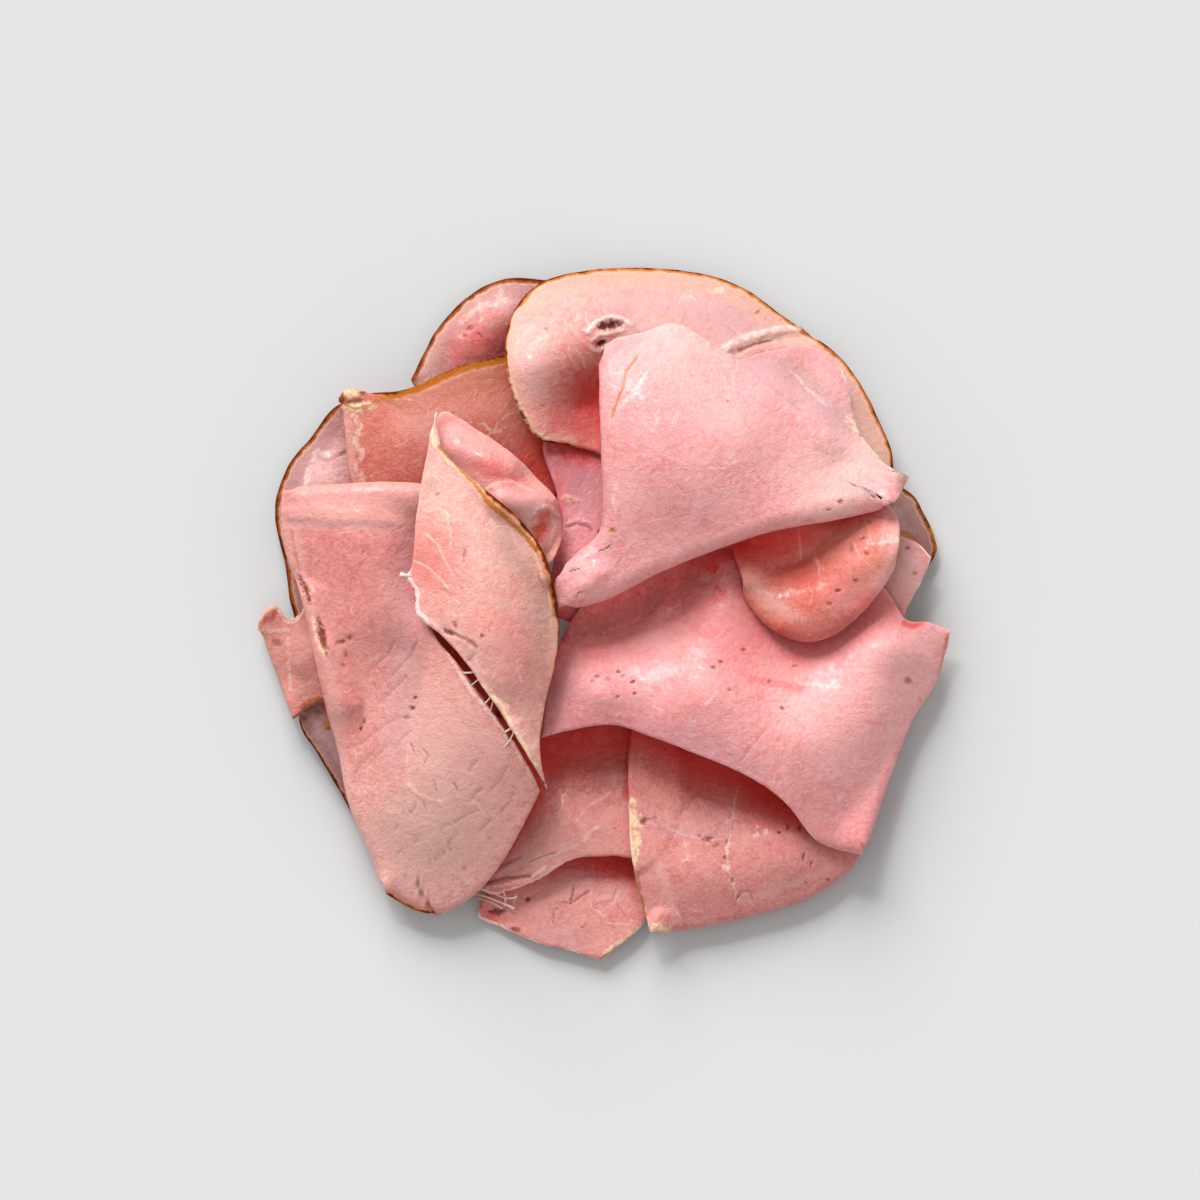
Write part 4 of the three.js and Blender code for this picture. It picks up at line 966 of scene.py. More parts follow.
                (1.7, 0.7, -0.3, 73.8, 58, 78.6, 51.8, 84, 46.4, 90, 40.6),
            ),
            *lines(
                WHITE, (0.5, 0.59, 0, 13.2, 71.8, 10.8, 68.5, 9, 65.8, 6.6, 63.4),
                (0.4, 0.47, 0, 9, 64.6, 5.4, 61.6, 2.4, 58.9),
                (0.45, 0.51, 0, 15, 59.2, 15.9, 56.5, 14.4, 54.4),
                (0.4, 0.47, 0, 21.6, 59.8, 20.4, 56.9, 19.2, 55), (0.3, 0.42, 0, 12, 56.9, 13.8, 55),
                (0.35, 0.42, 0, 30.9, 43.6, 34.2, 42.4, 36.9, 44.2, 40.2, 46),
                (0.35, 0.42, 0, 35.4, 44.9, 38.7, 47.9), (0.35, 0.42, 0, 4.2, 38.9, 3, 34.6, 3.9, 30.4),
                (0.5, 0.38, 0, 55.8, 72.5, 61.2, 66.5, 66, 62.2),
                (0.6, 0.51, -0.3, 81.6, 38.2, 84.6, 34, 86.4, 28.1),
            ),
            *spots(
                BROWN, (3, 25.3, 0.5, 0.4, 0, 0.6), (86.7, 39.1, 1.1, 0.6, 10, 0.7),
                (70.2, 33.4, 0.7, 0.6, 0, 0.85, 0.3), (74.4, 33.4, 0.5, 0.4, 0, 0.8, 0.3),
                (66.9, 31.3, 0.8, 0.4, 10, 0.7, 0.3),
            ),
            *lines(
                BROWN, (0.6, 0.38, 0.6, 40.5, 76.6, 44.4, 77.8, 48, 79),
                (0.45, 0.38, 0.5, 49.2, 79, 54, 80.2),
                (0.35, 0.25, 0.3, 73.8, 59.5, 75.6, 55, 76.8, 52),
            ),
            *spots(DARK, (36.9, 62.8, 0.35, 0.35, 0, 0.9), (16.8, 22.1, 0.35, 0.35, 0, 0.6)),
        ),
    ),
    "left_front_slice": Dress(
        "rose_meat",
        edges=(Edge(14, 16, Rim.RIND, 0.45), Edge(19, 24, Rim.TORN, 0.25)),
        marks=(
            *spots(PALE_AND_PAINTED_LIGHT, (-40.8, -36.4, 9, 24, 35, 1)),
            *lines(
                PALE_AND_PAINTED_LIGHT, (4.5, 0.6, 0, -91.2, 34, -79.2, 34, -53.7, 34),
                (3.4, 0.45, 0, -93.6, 34, -79.2, 37, -67.2, 37.4, -53.7, 36.4),
                (2.2, 0.5, -0.3, -94.2, 30.4, -85.8, 29.8, -76.2, 28.9, -62.7, 28.1, -53.7, 28.1),
                (1.3, 0.6, 0, -96.3, 34.6, -95.4, 25.1, -93.3, 13.7, -90.6, 2.9),
                (1.6, 0.6, 0, -93.6, 33.4, -91.8, 20.6, -90, 10, -87.3, 0.4),
                (1.2, 0.6, 0, -87.9, 3.4, -84.6, -7.9, -81.9, -16.3, -81.3, -25.9, -79.8, -39.4, -78.3,
                 -52.9), (1.4, 0.6, 0, -80.4, -22.9, -78.9, -37.9, -76.2, -55.9, -73.2, -65),
                (7, 0.45, 0, -47.7, -10.9, -42.6, -28.9, -37.2, -43.9, -31.2, -55.9),
                (6, 0.35, 0, -65.7, -68, -55.2, -74, -40.2, -71),
            ),
            *spots(PAINTED_LIGHT, (-52.2, -66.5, 26, 22, 30, 0.55), (-47.7, -45.4, 14, 24, 20, 0.5)),
            *lines(
                LILAC_AND_PAINTED_SHEEN, (1.4, 0.5, 0.15, -93.6, 27.1, -79.2, 26.8, -61.2, 25.9),
                (5, 0.5, 0, -56.4, 20.6, -58.8, 4, -60, -10.9, -59.4, -25.9, -61.8, -40.9),
            ),
            *spots(BARK, (-89.4, 7, 2.4, 0.5, -68, 0.9), (-83.7, -7.9, 3, 0.6, -76, 0.9)),
            *lines(
                BARK, (0.4, 0.5, 0.3, -93.3, 25.1, -92.4, 18.4, -91.2, 13),
                (0.5, 0.6, 0, -64.5, -83, -61.2, -87.5, -55.2, -90.1),
            ),
            *lines(
                FAT, (0.5, 0.7, 0, -87, -1.3, -85.8, -7.9, -83.7, -12.4),
                (0.5, 0.7, -0.2, -58.2, -51.1, -55.5, -53.9, -51.6, -55.4, -46.8, -55.9),
                (0.4, 0.5, 0, -41.4, -54.8, -37.8, -56.5, -36, -59.5),
                (0.3, 0.4, 0, -58.2, -39.4, -58.5, -45.4, -57.9, -49.9),
            ),
            *spots(GREY_AND_PAINTED_SHADE, (-52.2, -65, 16, 9, 30, 0.3)),
            *lines(
                WHITE, (0.4, 0.42, 0, -63.6, 28.1, -60, 26.2, -57.6, 25.1),
                (0.7, 0.77, -0.3, -48.3, -6.8, -44.7, -14.5, -39.6, -22.9, -32.7, -30.8, -26.4, -39.4,
                 -22.2, -46.9, -19.2, -51.8), (0.35, 0.42, 0, -63.6, 16.1, -61.2, 17.2),
            ),
            *spots(WHITE, (-68.1, -52.4, 0.8, 0.6, 0, 0.5)),
            *spots(
                BROWN, (-89.7, 7.6, 4.4, 0.9, -68, 0.9, 1), (-84.3, -6.8, 4.8, 1, -76, 0.95, 1),
                (-56.1, -25.1, 1, 0.6, 10, 1, 0.4), (-57, -28.3, 1, 0.6, 10, 1, 0.4),
                (-78.3, -8.2, 1, 0.6, 20, 0.8, 0.4), (-76.2, -7, 1, 0.6, 20, 0.7, 0.4),
                (-72, -32.2, 1, 0.6, 60, 0.9, 0.4), (-72.9, -34.4, 1, 0.6, 60, 0.9, 0.4),
                (-79.8, -8.8, 1, 0.6, 0, 0.5, 0.4), (-77.7, -12.4, 1, 0.6, 90, 0.5, 0.4),
                (-78.3, -15.4, 1, 0.6, 90, 0.5, 0.4), (-72, 18.4, 1, 0.6, 90, 0.4, 0.4),
                (-58.8, -31.3, 1, 0.6, 0, 0.5, 0.4),
            ),
            *lines(
                BROWN, (0.28, 0.25, 0.35, -66.3, -20.8, -61.8, -16.9, -57.6, -12.8, -55.2, -7.9),
                (0.28, 0.23, 0.35, -67.8, -27.1, -63.6, -23.6, -58.8, -18.8),
                (0.28, 0.2, 0.35, -72.6, -39.1, -66.6, -34, -60.6, -30.8),
                (0.28, 0.25, 0.35, -62.4, -40.4, -60, -37.4, -57, -34.9),
                (0.28, 0.2, 0.35, -75.6, -48.8, -70.2, -42.8, -67.2, -39.4),
                (0.28, 0.17, 0.35, -71.4, -46.4, -66, -40.9, -63.6, -38.5),
                (0.28, 0.17, 0.35, -69.6, -16.3, -64.8, -12.4, -62.4, -7.9),
                (0.28, 0.25, 0.35, -53.7, -40.4, -52.2, -42.8, -53.4, -44.5),
                (0.28, 0.25, 0.35, -57.3, -39.1, -56.4, -42.1),
                (0.28, 0.3, 0.35, -60, -59.5, -57.6, -59.2, -56.1, -57.8),
                (0.28, 0.23, 0.35, -62.1, -63.8, -60.6, -65),
                (0.28, 0.2, 0.35, -47.1, -69.8, -45.6, -67.3, -43.5, -65.5),
                (0.28, 0.2, 0.35, -49.2, -65, -46.5, -62.5),
                (0.28, 0.23, 0.35, -44.7, -50.5, -43.5, -52.9),
                (0.28, 0.23, 0.35, -50.7, -49.9, -49.8, -52.9),
                (0.28, 0.2, 0.35, -40.2, -55.9, -37.8, -52.9, -36, -51.8),
                (0.28, 0.17, 0.35, -34.2, -52.9, -31.2, -49.4, -28.8, -45.1),
                (0.28, 0.17, 0.35, -40.2, -46.9, -37.8, -43.4),
                (0.28, 0.2, 0.35, -52.2, -74.5, -48.6, -71.5, -44.4, -69.8),
                (0.28, 0.17, 0.35, -43.8, -77.5, -39.6, -74.5),
                (0.28, 0.17, 0.35, -44.7, -62.5, -40.2, -59.5, -37.2, -58.3),
                (0.28, 0.15, 0.35, -37.2, -65, -33.6, -61.3),
                (0.28, 0.15, 0.35, -61.2, -71, -56.7, -68.5, -54, -65.5),
                (0.28, 0.25, 0.35, -60.9, -79.6, -59.4, -78.5),
                (0.28, 0.15, 0.35, -31.2, -59.5, -28.2, -55.9, -26.4, -51.8),
                (0.28, 0.17, 0.35, -54, -55.9, -52.8, -59.5),
                (0.28, 0.15, 0.35, -65.7, -55.9, -61.8, -53.5),
            ),
            *lines(
                DARK, (0.6, 0.47, 1, -56.1, -81.1, -54.9, -83.8, -53.1, -86.8, -51.3, -91),
                (0.4, 0.42, 0.7, -56.1, -81.1, -54, -79.3),
                (0.7, 0.4, 0.8, -42.6, -15.1, -37.2, -22.9, -31.2, -30.8, -27.6, -36.8),
            ),
        ),
        tint="#f6eeec",
        shade=0.8,
    ),
    "crumpled_slice": Dress(
        "pale_meat",
        edges=(Edge(0, 4, Rim.TORN, 0.15),),
        marks=(
            *spots(RED, (-32.1, 41.9, 8, 2.8, -25, 0.5), (-18.9, 25.6, 5.2, 2, 68, 0.85, 0.9)),
            *spots(BARK, (-19.2, 25.1, 3, 1.1, 68, 0.5)),
            *lines(PALE_AND_PAINTED_LIGHT, (2, 0.5, 0, -29.7, 34, -24.6, 34, -19.2, 33.4)),
            *spots(PALE_AND_PAINTED_LIGHT, (-43.2, 52, 9, 4, -35, 0.4)),
            *lines(LILAC_AND_PAINTED_SHEEN, (1.6, 0.5, 0, -35.4, 37.6, -40.2, 40)),
            *lines(
                WHITE, (0.5, 0.51, -0.2, -34.8, 37, -31.2, 38.9, -27.6, 38.9),
                (0.35, 0.42, 0, -29.7, 40.6, -25.2, 37.6, -21, 35.9),
                (0.6, 0.68, -0.4, -22.2, 29.2, -19.8, 31.9, -16.5, 32.2, -14.4, 29.8),
                (0.5, 0.59, -0.3, -15.9, 30.4, -15.3, 25.6, -16.8, 19.6),
            ),
        ),
        tint="#f3e1e5",
    ),
    "pale_tongue_slice": Dress(
        "pale_meat",
        edges=(Edge(13.5, 18, Rim.RIND, 0.45), Edge(3.4, 6.6, Rim.TORN, 1.1)),
        marks=(
            *spots(
                RED, (-26.7, -10.9, 8, 16, 15, 0.25), (-52.2, 14.5, 8, 12, 0, 0.4),
                (-31.2, -3.4, 12, 6, -20, 0.3),
            ),
            *spots(FAT, (-50.4, 59.8, 2.6, 1.2, 35, 1, -0.3)),
            *lines(
                FAT, (0.7, 0.9, 0, -51.6, 55, -50.1, 50.2, -46.2, 46, -41.4, 41.2, -36, 35.9),
                (0.5, 0.85, -0.2, -45.6, -10.9, -40.8, -16.3, -35.4, -22.3, -30.3, -28.3, -27, -34.4,
                 -24, -39.4, -20.4, -45.4),
            ),
            *lines(
                PALE_AND_PAINTED_LIGHT, (1, 0.9, -0.3, -52.2, 56.9, -51.3, 52, -49.8, 49.9),
                (1.1, 0.95, -0.4, -57.6, 5.8, -55.2, 4, -57, 0.4, -54, -1.6, -49.8, -4),
            ),
            *lines(
                BARK, (0.6, 0.85, 0, -49.2, 49.9, -44.7, 45.1, -39.6, 39.8, -33.6, 33.4),
                (0.8, 0.9, 0, -34.8, 34, -29.7, 29.5, -24.6, 24.4, -20.1, 19.1),
                (0.8, 0.85, 0.5, -43.8, -13.9, -41.4, -17.6, -39, -21.1),
                (0.9, 0.9, 0.6, -37.2, -22.9, -34.2, -27.1, -31.2, -31.9),
            ),
            *spots(BARK, (-27.6, -37.4, 1.6, 0.9, 60, 0.8, 0.4)),
            *spots(LILAC_AND_PAINTED_SHEEN, (-29.7, -12.4, 8, 10, 0, 0.35)),
            *lines(LILAC_AND_PAINTED_SHEEN, (0.5, 0.5, 0, -40.2, 36.4, -42.6, 31.6)),
            *spots(GREY_AND_PAINTED_SHADE, (-19.2, -1.9, 4, 14, 0, 0.4)),
            *lines(GREY_AND_PAINTED_SHADE, (2, 0.45, 0, -31.2, 22.1, -22.2, 10, -18.3, -1.9)),
            *lines(
                WHITE, (0.35, 0.51, 0, -53.1, 24.1, -49.2, 20.6, -47.4, 16.1, -44.7, 11.5),
                (0.35, 0.51, 0, -57, 16.1, -52.8, 14.2, -49.2, 11.2, -45.6, 7),
                (0.35, 0.42, 0, -58.2, 8.8, -54, 7, -49.2, 5.2),
                (0.3, 0.42, 0, -47.1, 30.4, -45.6, 25.1, -45.6, 19.6),
                (0.3, 0.42, 0, -44.7, 34, -40.2, 35.9), (0.35, 0.51, 0, -25.8, -17.6, -25.2, -19.9),
                (0.5, 0.68, -0.2, -28.2, -32.5, -26.4, -37.9, -22.8, -43.4, -18.9, -51.8),
            ),
            *lines(
                BROWN, (0.5, 0.42, 0, -20.1, 19.6, -16.8, 12.4, -15.3, 5.2, -14.4, -1.9),
                (0.35, 0.38, 0.3, -41.1, 18.8, -41.7, 15.4), (0.3, 0.3, 0.3, -46.2, 6.5, -49.2, 7.6),
                (0.4, 0.38, 0.5, -44.1, -6.1, -40.2, -7.9, -37.8, -9.8),
                (0.35, 0.35, 0.4, -37.5, -9.4, -38.4, -11.8, -39.9, -13.9),
                (0.35, 0.35, 0.3, -33.3, -2.9, -34.5, -5.5),
                (0.3, 0.25, 0.2, -25.8, -6.1, -21.6, -6.8, -19.2, -6.8),
            ),
            *spots(
                BROWN, (-49.5, 35.5, 0.8, 0.4, 0, 0.6, 0.2), (-32.7, 14.5, 1, 0.3, 10, 0.5, 0.2),
                (-45.6, 26.2, 0.4, 1.2, 0, 0.35, 0.2), (-45.9, -5.5, 2.2, 0.7, -20, 0.85, 0.6),
                (-44.1, -3.1, 0.5, 0.9, 20, 0.6, 0.2), (-36, -6.5, 0.8, 0.6, 0, 0.8, 0.4),
            ),
            *lines(DARK, (0.6, 0.45, 0.5, -36, -24.8, -31.8, -30.8, -28.8, -36.8)),
        ),
        threads=(
            Thread(((-38.4, -17.2, 38), (-40.2, -17.8, 37), (-42.3, -17.6, 36)), 0.3),
            Thread(((-37.2, -19.3, 38.5), (-39, -21.1, 37), (-41.4, -22.3, 36)), 0.18),
            Thread(((-33.6, -24.4, 38), (-35.1, -26.8, 37), (-37.8, -28.1, 36)), 0.24),
            Thread(((-33, -25.6, 38), (-33.6, -28.1, 37), (-34.5, -31.3, 36)), 0.16),
            Thread(((-27.6, -34, 37.5), (-29.1, -35.2, 36), (-31.2, -35.9, 35)), 0.3),
            Thread(((-27, -35.2, 37), (-27.9, -37.9, 36), (-30, -40, 34.5)), 0.18),
        ),
    ),
}


def smooth_step(value: Array | float, low: float, high: float) -> Array:
    """Rises smoothly from 0 at low to 1 at high."""
    t = np.clip((np.asarray(value) - low) / (high - low), 0, 1)
    return t * t * (3 - 2 * t)


def soft_max(a: Array, b: Array, blend: float) -> Array:
    """The higher of two heights, rounded where they cross."""
    overlap = np.maximum(blend - np.abs(a - b), 0)
    return np.maximum(a, b) + overlap**2 / (4 * blend)


def grain_noise(x: Array, y: Array, size: float, seed: int) -> Array:
    """Gradient noise on a plane.

    Args:
        x: First coordinates, in millimetres.
        y: Second coordinates.
        size: Distance between two lattice points, about the width of a lump.
        seed: Picks one of many patterns.

    Returns:
        Values between about -0.7 and 0.7.
    """
    u, v = x / size, y / size
    i, j = np.floor(u), np.floor(v)
    fu, fv = u - i, v - j
    total = np.zeros_like(u)
    for di in (0, 1):
        for dj in (0, 1):
            code = np.sin((i + di) * HASH_X + (j + dj) * HASH_Y + seed * HASH_SEED) * HASH_SCALE
            angle = 2 * math.pi * (code - np.floor(code))
            slope = np.cos(angle) * (fu - di) + np.sin(angle) * (fv - dj)
            near_u = smooth_step(fu, 0, 1) if di else 1 - smooth_step(fu, 0, 1)
            near_v = smooth_step(fv, 0, 1) if dj else 1 - smooth_step(fv, 0, 1)
            total += near_u * near_v * slope
    return total


def distance_to_line(x: Array, y: Array, points: Sequence[tuple[float, ...]]) -> Array:
    """Distance from each place to a line through a few points.

    Args:
        x: First coordinates of the places.
        y: Second coordinates.
        points: The line's points, two or more. A third value is added to the distance from the
            part that starts there.

    Returns:
        The distances.
    """
    nearest = np.full(x.shape, np.inf)
    for (ax, ay, *beyond), (bx, by, *_) in zip(points, points[1:]):
        dx, dy = bx - ax, by - ay
        t = np.clip(((x - ax) * dx + (y - ay) * dy) / (dx * dx + dy * dy + TINY), 0, 1)
        away = np.hypot(x - ax - t * dx, y - ay - t * dy) + sum(beyond)
        nearest = np.minimum(nearest, away)
    return nearest


class Outline:
    """The rim of a slice as a closed Catmull-Rom curve, with its corners kept sharp."""

    def __init__(self, rim: tuple[tuple[float, ...], ...]) -> None:
        """Samples the curve through the rim points.

        Args:
            rim: Points [x, y, height], with CORNER as fourth value where the rim turns sharply.
        """
        start = np.array([p[:2] for p in rim], float)
        sharp = np.array([len(p) == 4 for p in rim])[:, None]
        end = np.roll(start, -1, axis=0)
        before = np.where(sharp, start, np.roll(start, 1, axis=0))
        after = np.where(np.roll(sharp, -1, axis=0), end, np.roll(start, -2, axis=0))
        leave, arrive, rise = (end - before) / 2, (after - start) / 2, end - start
        t = (np.arange(STRETCH_SAMPLES) / STRETCH_SAMPLES)[None, :, None]
        leave, arrive, rise, start = (v[:, None, :] for v in (leave, arrive, rise, start))
        cubic = leave + arrive - 2 * rise
        self.samples = (
            start + t * (leave + t * (3 * rise - 2 * leave - arrive + t * cubic))
        ).reshape(-1, 2)
        closed = np.vstack([self.samples, self.samples[:1]])
        steps = np.hypot(*np.diff(closed, axis=0).T)
        self.lengths = np.concatenate([[0], np.cumsum(steps)])
        self.closed = closed
        self.length = float(self.lengths[-1])
        self.places = self.lengths[: -1 : STRETCH_SAMPLES] / self.length
        nxt = np.roll(self.samples, -1, axis=0)
        self.area = float(
            np.sum(self.samples[:, 0] * nxt[:, 1] - nxt[:, 0] * self.samples[:, 1]) / 2
        )
        self.turned = 1 if self.area > 0 else -1

    def at(self, place: Array) -> tuple[Array, Array]:
        """The points at places along the rim, from 0 to 1."""
        target = (place - np.floor(place)) * self.length
        return (
            np.interp(target, self.lengths, self.closed[:, 0]),
            np.interp(target, self.lengths, self.closed[:, 1]),
        )

    def outward(self, place: Array) -> tuple[Array, Array]:
        """The directions that point out of the slice at places along the rim."""
        step = 1 / len(self.samples)
        ax, ay = self.at(place - step)
        bx, by = self.at(place + step)
        length = np.hypot(bx - ax, by - ay)
        return self.turned * (by - ay) / length, self.turned * (ax - bx) / length

    def holds(self, x: Array, y: Array) -> Array:
        """Whether each place lies inside the rim."""
        inside = np.zeros(x.shape, bool)
        for (ax, ay), (bx, by) in zip(self.closed, self.closed[1:]):
            if ay == by:
                continue
            crosses = (ay > y) != (by > y)
            inside ^= crosses & (x < (bx - ax) * (y - ay) / (by - ay) + ax)
        return inside

    def stretch(self, place: Array, first: float, last: float, soft: float) -> Array:
        """How far places lie within a stretch of the rim.

        Args:
            place: Places along the rim, from 0 to 1.
            first: Rim point at which the stretch starts, fractions between two points allowed.
            last: Rim point at which it ends; it may be lower than first, past the last point.
            soft: Length of rim over which each end fades, in millimetres.

        Returns:
            1 within the stretch, 0 outside it.
        """
        numbers = np.arange(len(self.places) + 1)
        knots = np.append(self.places, 1.0)
        begin = float(np.interp(first, numbers, knots))
        end = float(np.interp(last, numbers, knots))
        span = (end - begin) % 1
        along = (place - begin + 0.5 - span / 2) % 1 - (0.5 - span / 2)
        along = along * self.length
        total = span * self.length
        return smooth_step(along, -soft, soft) * (1 - smooth_step(along, total - soft, total + soft))


class Sheet:
    """The height that a slice would take on its own: a thin-plate spline, folds and steps."""

    def __init__(self, form: SliceForm) -> None:
        """Solves the spline through the rim and body heights of a form."""
        self.form = form
        points = np.array([p[:3] for p in form.rim + form.body], float)
        self.knots = points[:, :2]
        count = len(points)
        system = np.zeros((count + 3, count + 3))
        system[:count, :count] = self.kernel(self.knots[:, 0], self.knots[:, 1])
        system[:count, count] = system[count, :count] = 1
        system[:count, count + 1 :] = self.knots
        system[count + 1 :, :count] = self.knots.T
        self.weights = np.linalg.solve(system, np.append(points[:, 2], [0, 0, 0]))

    def kernel(self, x: Array, y: Array) -> Array:
        """The spline's kernel between places and its knots."""
        squared = (x[:, None] - self.knots[:, 0]) ** 2 + (y[:, None] - self.knots[:, 1]) ** 2
        return squared * np.log(np.where(squared > 0, squared, 1))

    def height(self, x: Array, y: Array) -> Array:
        """The slice's own height at places."""
        count = len(self.knots)
        height = self.kernel(x, y) @ self.weights[:count]
        level, slope_x, slope_y = self.weights[count:]
        height = height + level + slope_x * x + slope_y * y
        for fold in self.form.folds:
            across = distance_to_line(x, y, (fold.start, fold.end)) / fold.width
            height = height + fold.height * np.exp(-(across**2))
        for step in self.form.steps:
            height = height + self.step_height(step, x, y)
        return height

    @staticmethod
    def step_height(step: Step, x: Array, y: Array) -> Array:
        """The height that a step adds at places."""
        dx, dy = step.end[0] - step.start[0], step.end[1] - step.start[1]
        length = math.hypot(dx, dy)
        dx, dy = dx / length, dy / length
        along = ((x - step.start[0]) * dx + (y - step.start[1]) * dy) / length
        aside = (x - step.start[0]) * dy - (y - step.start[1]) * dx
        share = np.sin(math.pi * np.clip(along, 0, 1)) ** 2
        fade = np.exp(-((np.maximum(aside, 0) / step.reach) ** 2))
        return step.height * share * smooth_step(aside, -step.width, step.width) * fade


class Ground:
    """The height map on which the slices are stacked."""

    def __init__(self) -> None:
        """Starts at half a slice's thickness, so that the lowest slices stand on z = 0."""
        self.heights = np.full((MAP_SIDE, MAP_SIDE), SLICE_THICKNESS / 2)
        line = np.arange(MAP_SIDE) * MAP_CELL - MAP_HALF
        self.x, self.y = np.meshgrid(line, line)

    def bridged(self) -> Array:
        """What a slice meets when it comes down: the map with its steps bridged."""
        heights = self.heights.copy()
        for _ in range(RELAX_ROUNDS):
            mean = (
                heights[1:-1, :-2] + heights[1:-1, 2:] + heights[:-2, 1:-1] + heights[2:, 1:-1]
            ) / 4
            heights[1:-1, 1:-1] = np.maximum(self.heights[1:-1, 1:-1], mean)
        return heights

    @staticmethod
    def sample(heights: Array, x: Array, y: Array) -> Array:
        """A map's height at places, smoothed by a quadratic B-spline over 3 by 3 cells."""
        u = np.clip((x + MAP_HALF) / MAP_CELL, 1, MAP_SIDE - 2)
        v = np.clip((y + MAP_HALF) / MAP_CELL, 1, MAP_SIDE - 2)
        i, j = np.floor(u + 0.5).astype(int), np.floor(v + 0.5).astype(int)
        across = Ground.weights(u - i)
        along = Ground.weights(v - j)
        total = np.zeros_like(u)
        for dj in (-1, 0, 1):
            for di in (-1, 0, 1):
                total += across[di + 1] * along[dj + 1] * heights[j + dj, i + di]
        return total

    @staticmethod
    def weights(f: Array) -> tuple[Array, Array, Array]:
        """The B-spline's three weights at a fraction of a cell."""
        return (0.5 - f) ** 2 / 2, 0.75 - f * f, (0.5 + f) ** 2 / 2

    def raise_by(self, laid: "LaidSlice") -> None:
        """Raises the map to what a laid slice offers the next one."""
        inside = laid.outline.holds(self.x, self.y)
        covered = np.zeros_like(inside)
        m = RIM_MARGIN
        for dj in range(-m, m + 1):
            for di in range(-m, m + 1):
                covered[m:-m, m:-m] |= inside[m + dj : MAP_SIDE - m + dj, m + di : MAP_SIDE - m + di]
        x, y = self.x[covered], self.y[covered]
        slope_x = (laid.height(x + MAP_CELL, y) - laid.height(x - MAP_CELL, y)) / (2 * MAP_CELL)
        slope_y = (laid.height(x, y + MAP_CELL) - laid.height(x, y - MAP_CELL)) / (2 * MAP_CELL)
        slope = np.minimum(np.hypot(slope_x, slope_y), STEEPEST)
        top = laid.height(x, y) + (SLICE_THICKNESS + SLICE_GAP) * np.hypot(1, slope)
        self.heights[covered] = np.maximum(self.heights[covered], top)


class LaidSlice:
    """A slice on the ground map: its rim, pulled in where it curls under, and its height."""

    def __init__(self, form: SliceForm, ground: Ground) -> None:
        """Lays a form on the ground as it is now."""
        self.form = form
        self.outline = Outline(form.rim)
        self.sheet = Sheet(form)
        self.support = ground.bridged()
        place = np.arange(len(self.outline.samples)) / len(self.outline.samples)
        share, radius, turn = self.curl_at(place)
        on = share > 0
        room = share * radius * (1 - np.cos(turn))
        self.curled = list(zip(*self.outline.at(place[on]), radius[on], room[on]))

    def curl_at(self, place: Array) -> tuple[Array, Array, Array]:
        """The curl's share of its full turn, its radius and its full turn at places on the rim."""
        share, radius, turn = (np.zeros_like(place) for _ in range(3))
        places = self.outline.places
        for curl in self.form.curls:
            to_end = np.minimum(place - places[curl.first], places[curl.last] - place)
            here = to_end > 0
            share = np.where(here, smooth_step(to_end * self.outline.length, 0, CURL_EASE), share)
            radius = np.where(here, curl.radius, radius)
            turn = np.where(here, math.radians(curl.turn), turn)
        return share, radius, turn

    def curl_depth(self, x: Array, y: Array) -> Array:
        """The room that the curls need under the slice."""
        depth = np.zeros_like(x)
        for cx, cy, radius, room in self.curled:
            near = 1 - smooth_step(np.hypot(x - cx, y - cy), CURL_NEAR * radius, CURL_FAR * radius)
            depth = np.maximum(depth, near * room)
        return depth

    def height(self, x: Array, y: Array) -> Array:
        """The height of the slice's middle surface at places."""
        resting = Ground.sample(self.support, x, y) + self.curl_depth(x, y)
        return soft_max(self.sheet.height(x, y), resting, BLEND_HEIGHT)

    def rim_at(self, place: Array) -> "LaidRim":
        """The sheet's rim at places along the outline, pulled in where it curls under."""
        x, y = self.outline.at(place)
        out_x, out_y = self.outline.outward(place)
        share, radius, turn = self.curl_at(place)
        reach = radius * share
        full_x, full_y = x - out_x * reach, y - out_y * reach
        fall = self.height(full_x - out_x, full_y - out_y) - self.height(full_x, full_y)
        slope = np.clip(
            np.arctan(fall), math.radians(FLATTEST_START), math.radians(STEEPEST_START)
        )
        start = slope * share
        inset = reach * (1 - np.sin(start))
        return LaidRim(
            x - out_x * inset, y - out_y * inset, out_x, out_y, share, radius, start, turn * share
        )


@dataclass(frozen=True)
class LaidRim:
    """The sheet's rim at many places: position, outward direction and the curl that starts there."""

    x: Array
    y: Array
    out_x: Array
    out_y: Array
    share: Array
    radius: Array
    start: Array
    end: Array


